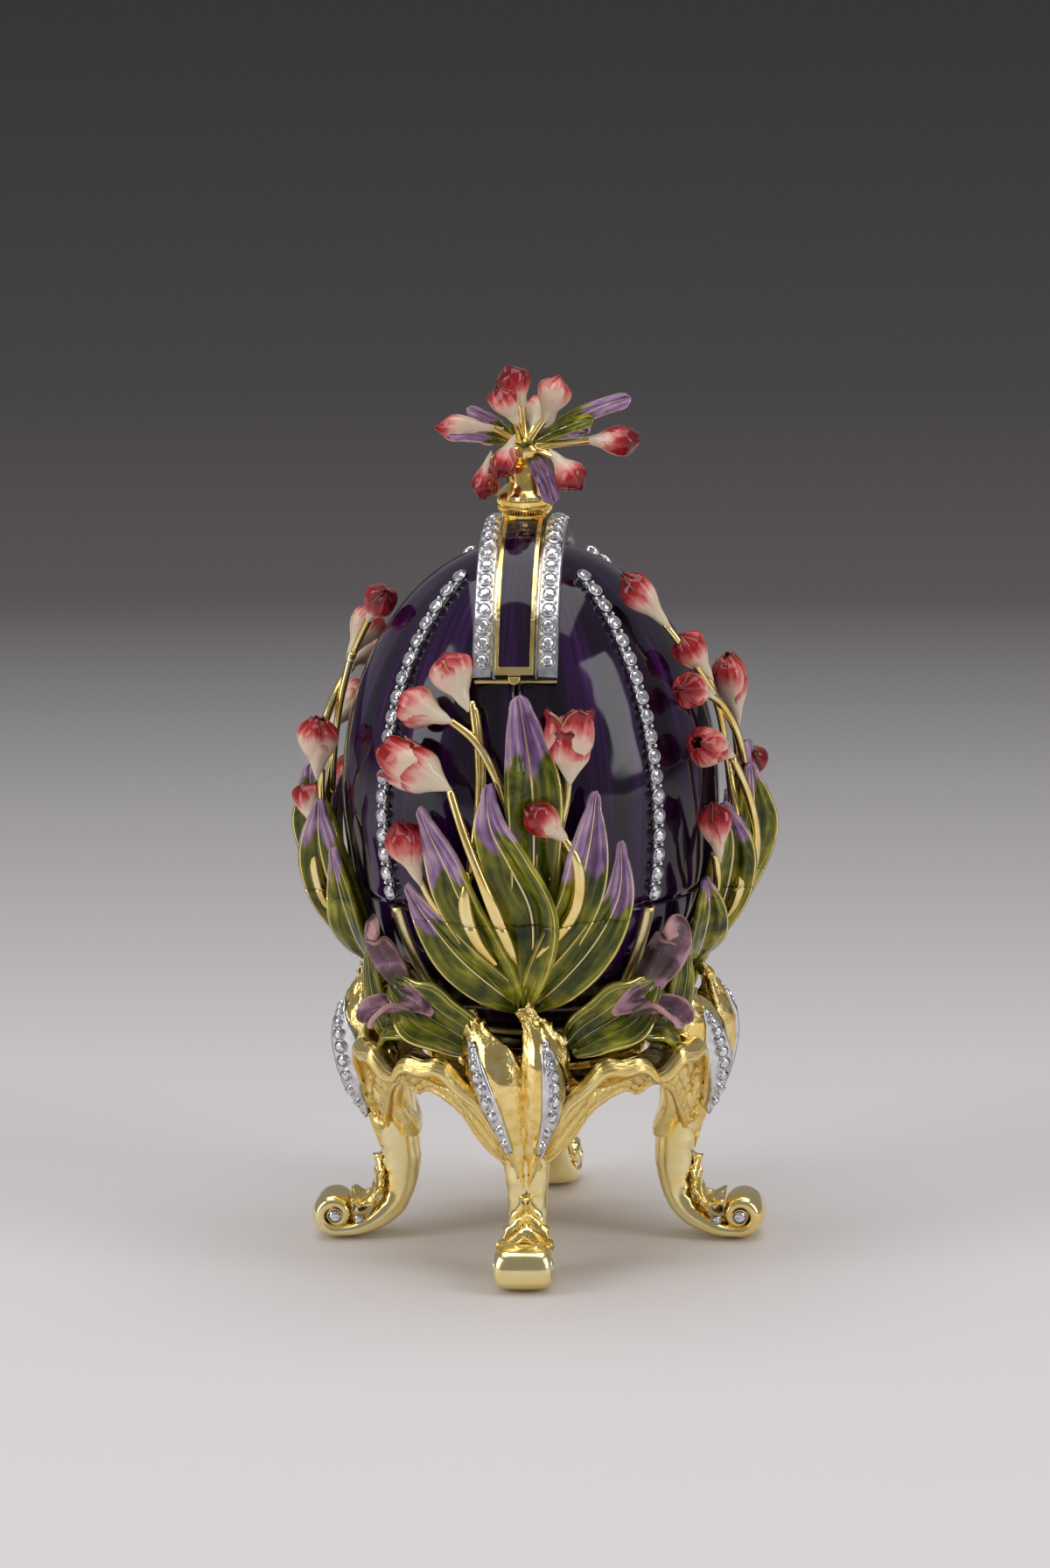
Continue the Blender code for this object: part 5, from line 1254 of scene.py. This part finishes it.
def scrollPiece(name, azimuth, way):
    noLilac = 2.0
    parts = []
    # which leaf, enamel, start of the tip, how far it is cupped and folded
    for which, material, tip, cupped, fold in (
            ("tall", mauveEnamel, 0.3, -0.35, 0.3), ("low", mauveEnamel, 0.3, 0.5, 0.0),
            ("ear", mauveEnamel, 0.3, 0.35, 0.0), ("green", ribbedEnamel, noLilac, 0.25, 0.0),
            ("greenTall", ribbedEnamel, noLilac, 0.25, 0.0)):
        pathAt, outAt, half = ringPath(scrollLook[which], azimuth, way)
        if which == "low":
            # the lip rolls over, so it faces along its own curve
            def outAt(v):
                ahead = (pathAt(min(v + 0.02, 1.0)) - pathAt(max(v - 0.02, 0.0))).normalized()
                return axes(azimuth)[1].cross(ahead) * -1.0
        parts.append(leafPiece(which, pathAt, outAt, half, material, tip, cupped, 32, 17, fold))
    pathAt, outAt, half = ringPath(scrollLook["greenBroad"], azimuth, -way)

    def wavyHalf(v):
        return half(v) * (1.0 + 0.07 * math.sin(15.0 * v))

    parts.append(leafPiece("greenBroad", pathAt, outAt, wavyHalf, ribbedEnamel, noLilac, 0.22, 40, 19))
    return joined(name, parts)


ribLook = {"angles": (45.0, 135.0, 225.0, 315.0), "low": 34.8, "high": 55.9, "half": 1.15, "lift": 0.9,
           "sag": 0.8, "thick": 0.5}


def buildRibs():
    # four gold strips that run on below the rows of stones, on a low ring
    low, thick = ribLook["low"], ribLook["thick"]
    parts = []
    for azimuth in ribLook["angles"]:
        side = axes(azimuth)[1]

        def ribAt(u, v):
            flat = u * 2.0 - 1.0
            z = low + (ribLook["high"] - low) * v
            middle = onEgg(azimuth, z, ribLook["lift"] - ribLook["sag"] * flat * flat)
            return middle + side * (flat * ribLook["half"] * mm)

        parts.append(thicken(gridPiece("rib", 30, 9, ribAt, mattGold), thick))

    def ringAt(u, v):
        a = 2 * math.pi * u
        return place(360.0 * v, eggRadius(low) + thick * math.cos(a), low + thick * math.sin(a)) * mm

    parts.append(gridPiece("ribRing", 97, 10, ringAt, mattGold, True))
    ribs = joined("bowlStraps", parts)
    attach(ribs, "stand")
    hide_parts("bowl_straps")


def buildStand():
    buildRibs()
    for number, sideName in enumerate(("front", "right", "back", "left")):
        azimuth = 90.0 * number
        leg = legPiece(sideName + "Leg", azimuth)
        head = headPiece(sideName + "TulipHead", azimuth)
        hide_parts("leg_" + sideName)
        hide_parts("tulip_head_" + sideName)
        flares = [flarePiece(f"{sideName}Flare{hand}", azimuth, way) for hand, way in (("A", -1), ("B", 1))]
        for piece in [leg, head] + flares:
            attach(piece, "stand")
    for number, corner in enumerate(("front_right", "back_right", "back_left", "front_left")):
        way = 1 if number in (0, 2) else -1
        scroll = scrollPiece("scroll" + corner.title().replace("_", ""), 45.0 + 90.0 * number, way)
        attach(scroll, "stand")
        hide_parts("leaf_scroll_" + corner)
    buildRing()


buildStand()
print("stand made")


# Finial, measured from its hub. Tulips: name, base, tip, radius, openness, blush. Leaves: tip, half width,
# start of the lilac, rise of the arch, and the side that it faces. Collar and cup: radius and height.
finial = {
    "hubZ": 121.7, "hubRadius": 2.2, "collarLow": 112.2, "cupLow": 114.3, "knurls": 120, "scallops": 12,
    "stem": 0.62,
    "tulips": [
        ("top", (-0.2, 0.5, 6.4), (-2.2, 0.8, 12.4), 2.4, 0.05, 0.1),
        ("top_right", (3.1, 0.5, 4), (5.5, 1, 10.6), 2.4, 0, -0.12),
        ("top_front", (-0.9, -2, 4.2), (-3.6, -4.2, 10.1), 2.15, 0, -0.04),
        ("left", (-4, -0.5, 3), (-13.2, -0.6, 3.2), 1.95, 0, -0.1),
        ("right", (9.6, -0.5, 1.2), (17.4, -0.8, 1.1), 2.2, 0.25, 0.1),
        ("low_right", (4.6, -2.5, -0.6), (8.8, -4.6, -5.5), 2.3, 0, 0.06),
        ("front", (-1.5, -3, 1.6), (-3.6, -6, -3.4), 1.95, 0, 0.1),
        ("low_left", (-5, -1.9, -1.2), (-6.3, -3.4, -7.2), 1.9, 0.1, 0.16),
        ("back", (1, 4.5, 2), (2.4, 11.1, 5), 2.4, 0.1, -0.05),
        ("back_left", (-3.2, 4.1, 0.7), (-7.6, 9.7, 1.7), 2.3, 0.1, 0.05),
    ],
    "leaves": [((16.2, -0.6, 7.6), 1.45, 0.58, 0.9, 1), ((-11.2, -2.6, 2.6), 1.2, 0.42, 0.8, 1),
               ((4.6, -4.6, -7.8), 1.5, 0.34, 1.6, 1), ((10.6, -1.6, 4.6), 1.2, 2, 0.6, 1),
               ((-8.6, 1, 5.8), 1, 0.5, 0.6, 1), ((9, 8, 1), 1.9, 0.6, 1.4, -1),
               ((-4.5, 11, 6), 1.9, 0.6, 1.2, -1), ((0.6, -3.6, 1.4), 1, 2, 0.4, 1)],
    "collar": [(2.6, -1.2), (3.1, -1.2), (3.5, -0.5), (4.0, 0.2), (4.1, 0.8), (3.8, 1.05), (4.2, 1.3),
               (4.2, 1.85), (3.9, 2.1), (3.0, 2.1)],
    "cup": [(0.2, 0.0), (4.0, -0.1), (4.4, 0.15), (4.3, 0.6), (3.6, 1.1), (3.0, 1.7), (2.7, 2.5), (2.8, 3.9),
            (2.5, 4.9), (1.4, 5.4), (0.2, 5.5)],
}


def buildCollar():
    def collarAt(u, v):
        r, z = cornerOf(finial["collar"], u)
        knurl = 1.0 - 0.035 * (round(v * finial["knurls"]) % 2) * (r > 3.3)
        return place(360.0 * v, r * knurl, finial["collarLow"] + z) * mm

    rows = finial["knurls"] + 1
    collar = gridPiece("finialCollar", rows, 10, collarAt, polishedGold, True, None, False, 25.0)
    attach(collar, "clasp")
    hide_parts("finial_collar")

    def cupAt(u, v):
        # a bell with a scalloped edge that stands on the collar
        r, z = cornerOf(finial["cup"], u)
        scallop = 1.0 + 0.03 * math.cos(math.radians(360.0 * v * finial["scallops"])) * (z < 0.8 and r > 1.0)
        wobble = ripple(place(360.0 * v, r, z), 0.6, 0.25) if r > 1.0 else 0.0
        return place(360.0 * v, r * scallop + wobble, finial["cupLow"] + z) * mm

    cupPiece = gridPiece("finialCup", 97, 11, cupAt, polishedGold, True, None, False, 40.0)
    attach(cupPiece, "clasp")
    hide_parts("finial_cup")


def buildBunch():
    hub = upward * finial["hubZ"]
    made = bmesh.new()
    bmesh.ops.create_uvsphere(made, u_segments=20, v_segments=14, radius=finial["hubRadius"] * mm,
                              matrix=Matrix.Translation((hub - upward * 0.4) * mm))
    for corner in made.verts:
        corner.co += corner.normal * ripple(corner.co / mm, 1.1, 0.6) * mm
    parts = [fromMesh("finialHub", made, [castGold], 50.0)]
    for tip, wide, lilac, rise, way in finial["leaves"]:
        def pathAt(v):
            return (hub + Vector(tip) * (0.06 + 0.94 * v) + upward * (rise * 4.0 * v * (1.0 - v))) * mm

        def outAt(v):
            return Vector((0.0, -1.0 * way, 0.7)).normalized()

        def half(v):
            return wide * (0.35 + 0.65 * ease(v, 0.0, 0.45)) * bluntEnd(v, 0.86)

        parts.append(leafPiece("finialBlade", pathAt, outAt, half, leafEnamel, lilac, -0.15, 22, 13))
    for name, base, tip, radius, openness, blush in finial["tulips"]:
        base, tip = Vector(base), Vector(tip)
        points = [(hub + base * 0.12) * mm, (hub + base * 0.55) * mm, (hub + base + (tip - base) * 0.06) * mm]
        parts.append(wire("finialStem", points, finial["stem"], polishedGold, [1.3, 0.9, 1.0]))
        facing = Vector((0, -1 if base.y < 2.0 else 1, 0.4))
        flower = tulipPiece("finialTulip" + name.title().replace("_", ""), (hub + base) * mm,
                            (hub + tip) * mm, radius, openness, blush, facing)
        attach(flower, "clasp")
        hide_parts("finial_tulip_" + name)
    foliage = joined("finialFoliage", parts)
    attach(foliage, "clasp")
    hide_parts("finial_leaves")


buildCollar()
buildBunch()
print("finial made")


# carried-over nodes
carried = {
    polishedGold: ["clasp_bar", "bowl_liner", "hinge_spine", "left_hinge_leaf", "right_hinge_leaf",
                   "saddle_plate"],
    hingeSteel: ["hinge_pin", "clasp_pin", "base_screw"],
}
for material, names in carried.items():
    for name in names:
        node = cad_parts[name]
        node.data.materials.clear()
        node.data.materials.append(material)


# Floor, light and camera. The floor's stops have a place and a level; they paint shade that deepens behind
# the box, standing for the light falling off. Each box has its place, the height that it is aimed at, its
# size and its share of the glow.
studio = {
    "world": 0.24, "glow": 1.75, "warmFrom": 0.2, "warm": (1.0, 0.955, 0.965), "dim": (1.0, 0.87, 0.89),
    "floor": [(0, 0.915), (0.175, 0.83), (0.25, 0.73), (0.29, 0.615), (0.331, 0.505), (0.369, 0.412),
              (0.4125, 0.282), (0.475, 0.109), (0.6125, 0.06), (0.769, 0.0445), (0.969, 0.0305)],
    "boxes": {"leftBox": ((-1.05, -0.50, 0.58), 0.07, (0.56, 1.0), 1.55),
              "rightBox": ((1.10, -0.46, 0.62), 0.07, (0.50, 1.0), 1.65),
              "topBox": ((0.0, 0.12, 1.25), 0.06, (1.4, 1.0), 1.0)},
}


def aimed(piece, position, turn):
    piece.location = position
    piece.rotation_mode = "QUATERNION"
    piece.rotation_quaternion = turn


def buildFloor():
    # pale paper with painted shade: it darkens with distance behind the box, standing for the light falling
    # off
    made = bmesh.new()
    bmesh.ops.create_circle(made, cap_ends=True, radius=6.0, segments=96)
    paper = Finish("paperFloor", (0.8, 0.77, 0.78), 0.6)
    behind = paper.math("DIVIDE", paper.plus(paper.apart()["Y"], 0.3), 1.6)
    stops = []
    for where, level in studio["floor"]:
        tint = studio["warm" if level > studio["warmFrom"] else "dim"]
        stops.append((where, tuple(level * share for share in tint)))
    paper.colour(paper.ramp(behind, stops))
    paper.rough(paper.noise(paper.position(), 900.0), noiseLow, noiseHigh, (0.55, 0.7))
    floor = fromMesh("paperFloor", made, [paper.material], 50.0)
    floor.location.z = -0.0002


def buildLights():
    for name, (position, aimHeight, size, share) in studio["boxes"].items():
        lamp = bpy.data.lights.new(name, "AREA")
        lamp.shape = "RECTANGLE"
        lamp.size, lamp.size_y = size
        lamp.energy = share * studio["glow"] * math.pi * size[0] * size[1]
        look = Vector((0, 0, aimHeight)) - Vector(position)
        aimed(linked(name, lamp), position, look.to_track_quat("-Z", "Y"))
    world = bpy.data.worlds.new("studioWorld")
    world.use_nodes = True
    back = world.node_tree.nodes["Background"]
    back.inputs["Color"].default_value = (0.98, 0.97, 1.0, 1.0)
    back.inputs["Strength"].default_value = studio["world"]
    bpy.context.scene.world = world


view = {"azimuth": 4.64, "elevation": 13.2, "roll": 1.12, "distance": 1.4, "lens": 213.6,
        "target": (-0.00086, 0.0, 0.07013)}


def buildCamera():
    lens = bpy.data.cameras.new("photoCamera")
    lens.lens = view["lens"]
    lens.sensor_width = 36.0
    lens.clip_start, lens.clip_end = 0.01, 20.0
    rise = math.radians(view["elevation"])
    back = place(view["azimuth"], math.cos(rise), math.sin(rise))
    look = (-back).to_track_quat("-Z", "Y").to_matrix() @ Matrix.Rotation(-math.radians(view["roll"]), 3, "Z")
    camera = linked("photoCamera", lens)
    aimed(camera, Vector(view["target"]) + back * view["distance"], look.to_quaternion())
    bpy.context.scene.camera = camera


buildFloor()
buildLights()
buildCamera()
bpy.context.scene.view_settings.view_transform = "Standard"
print("studio made")
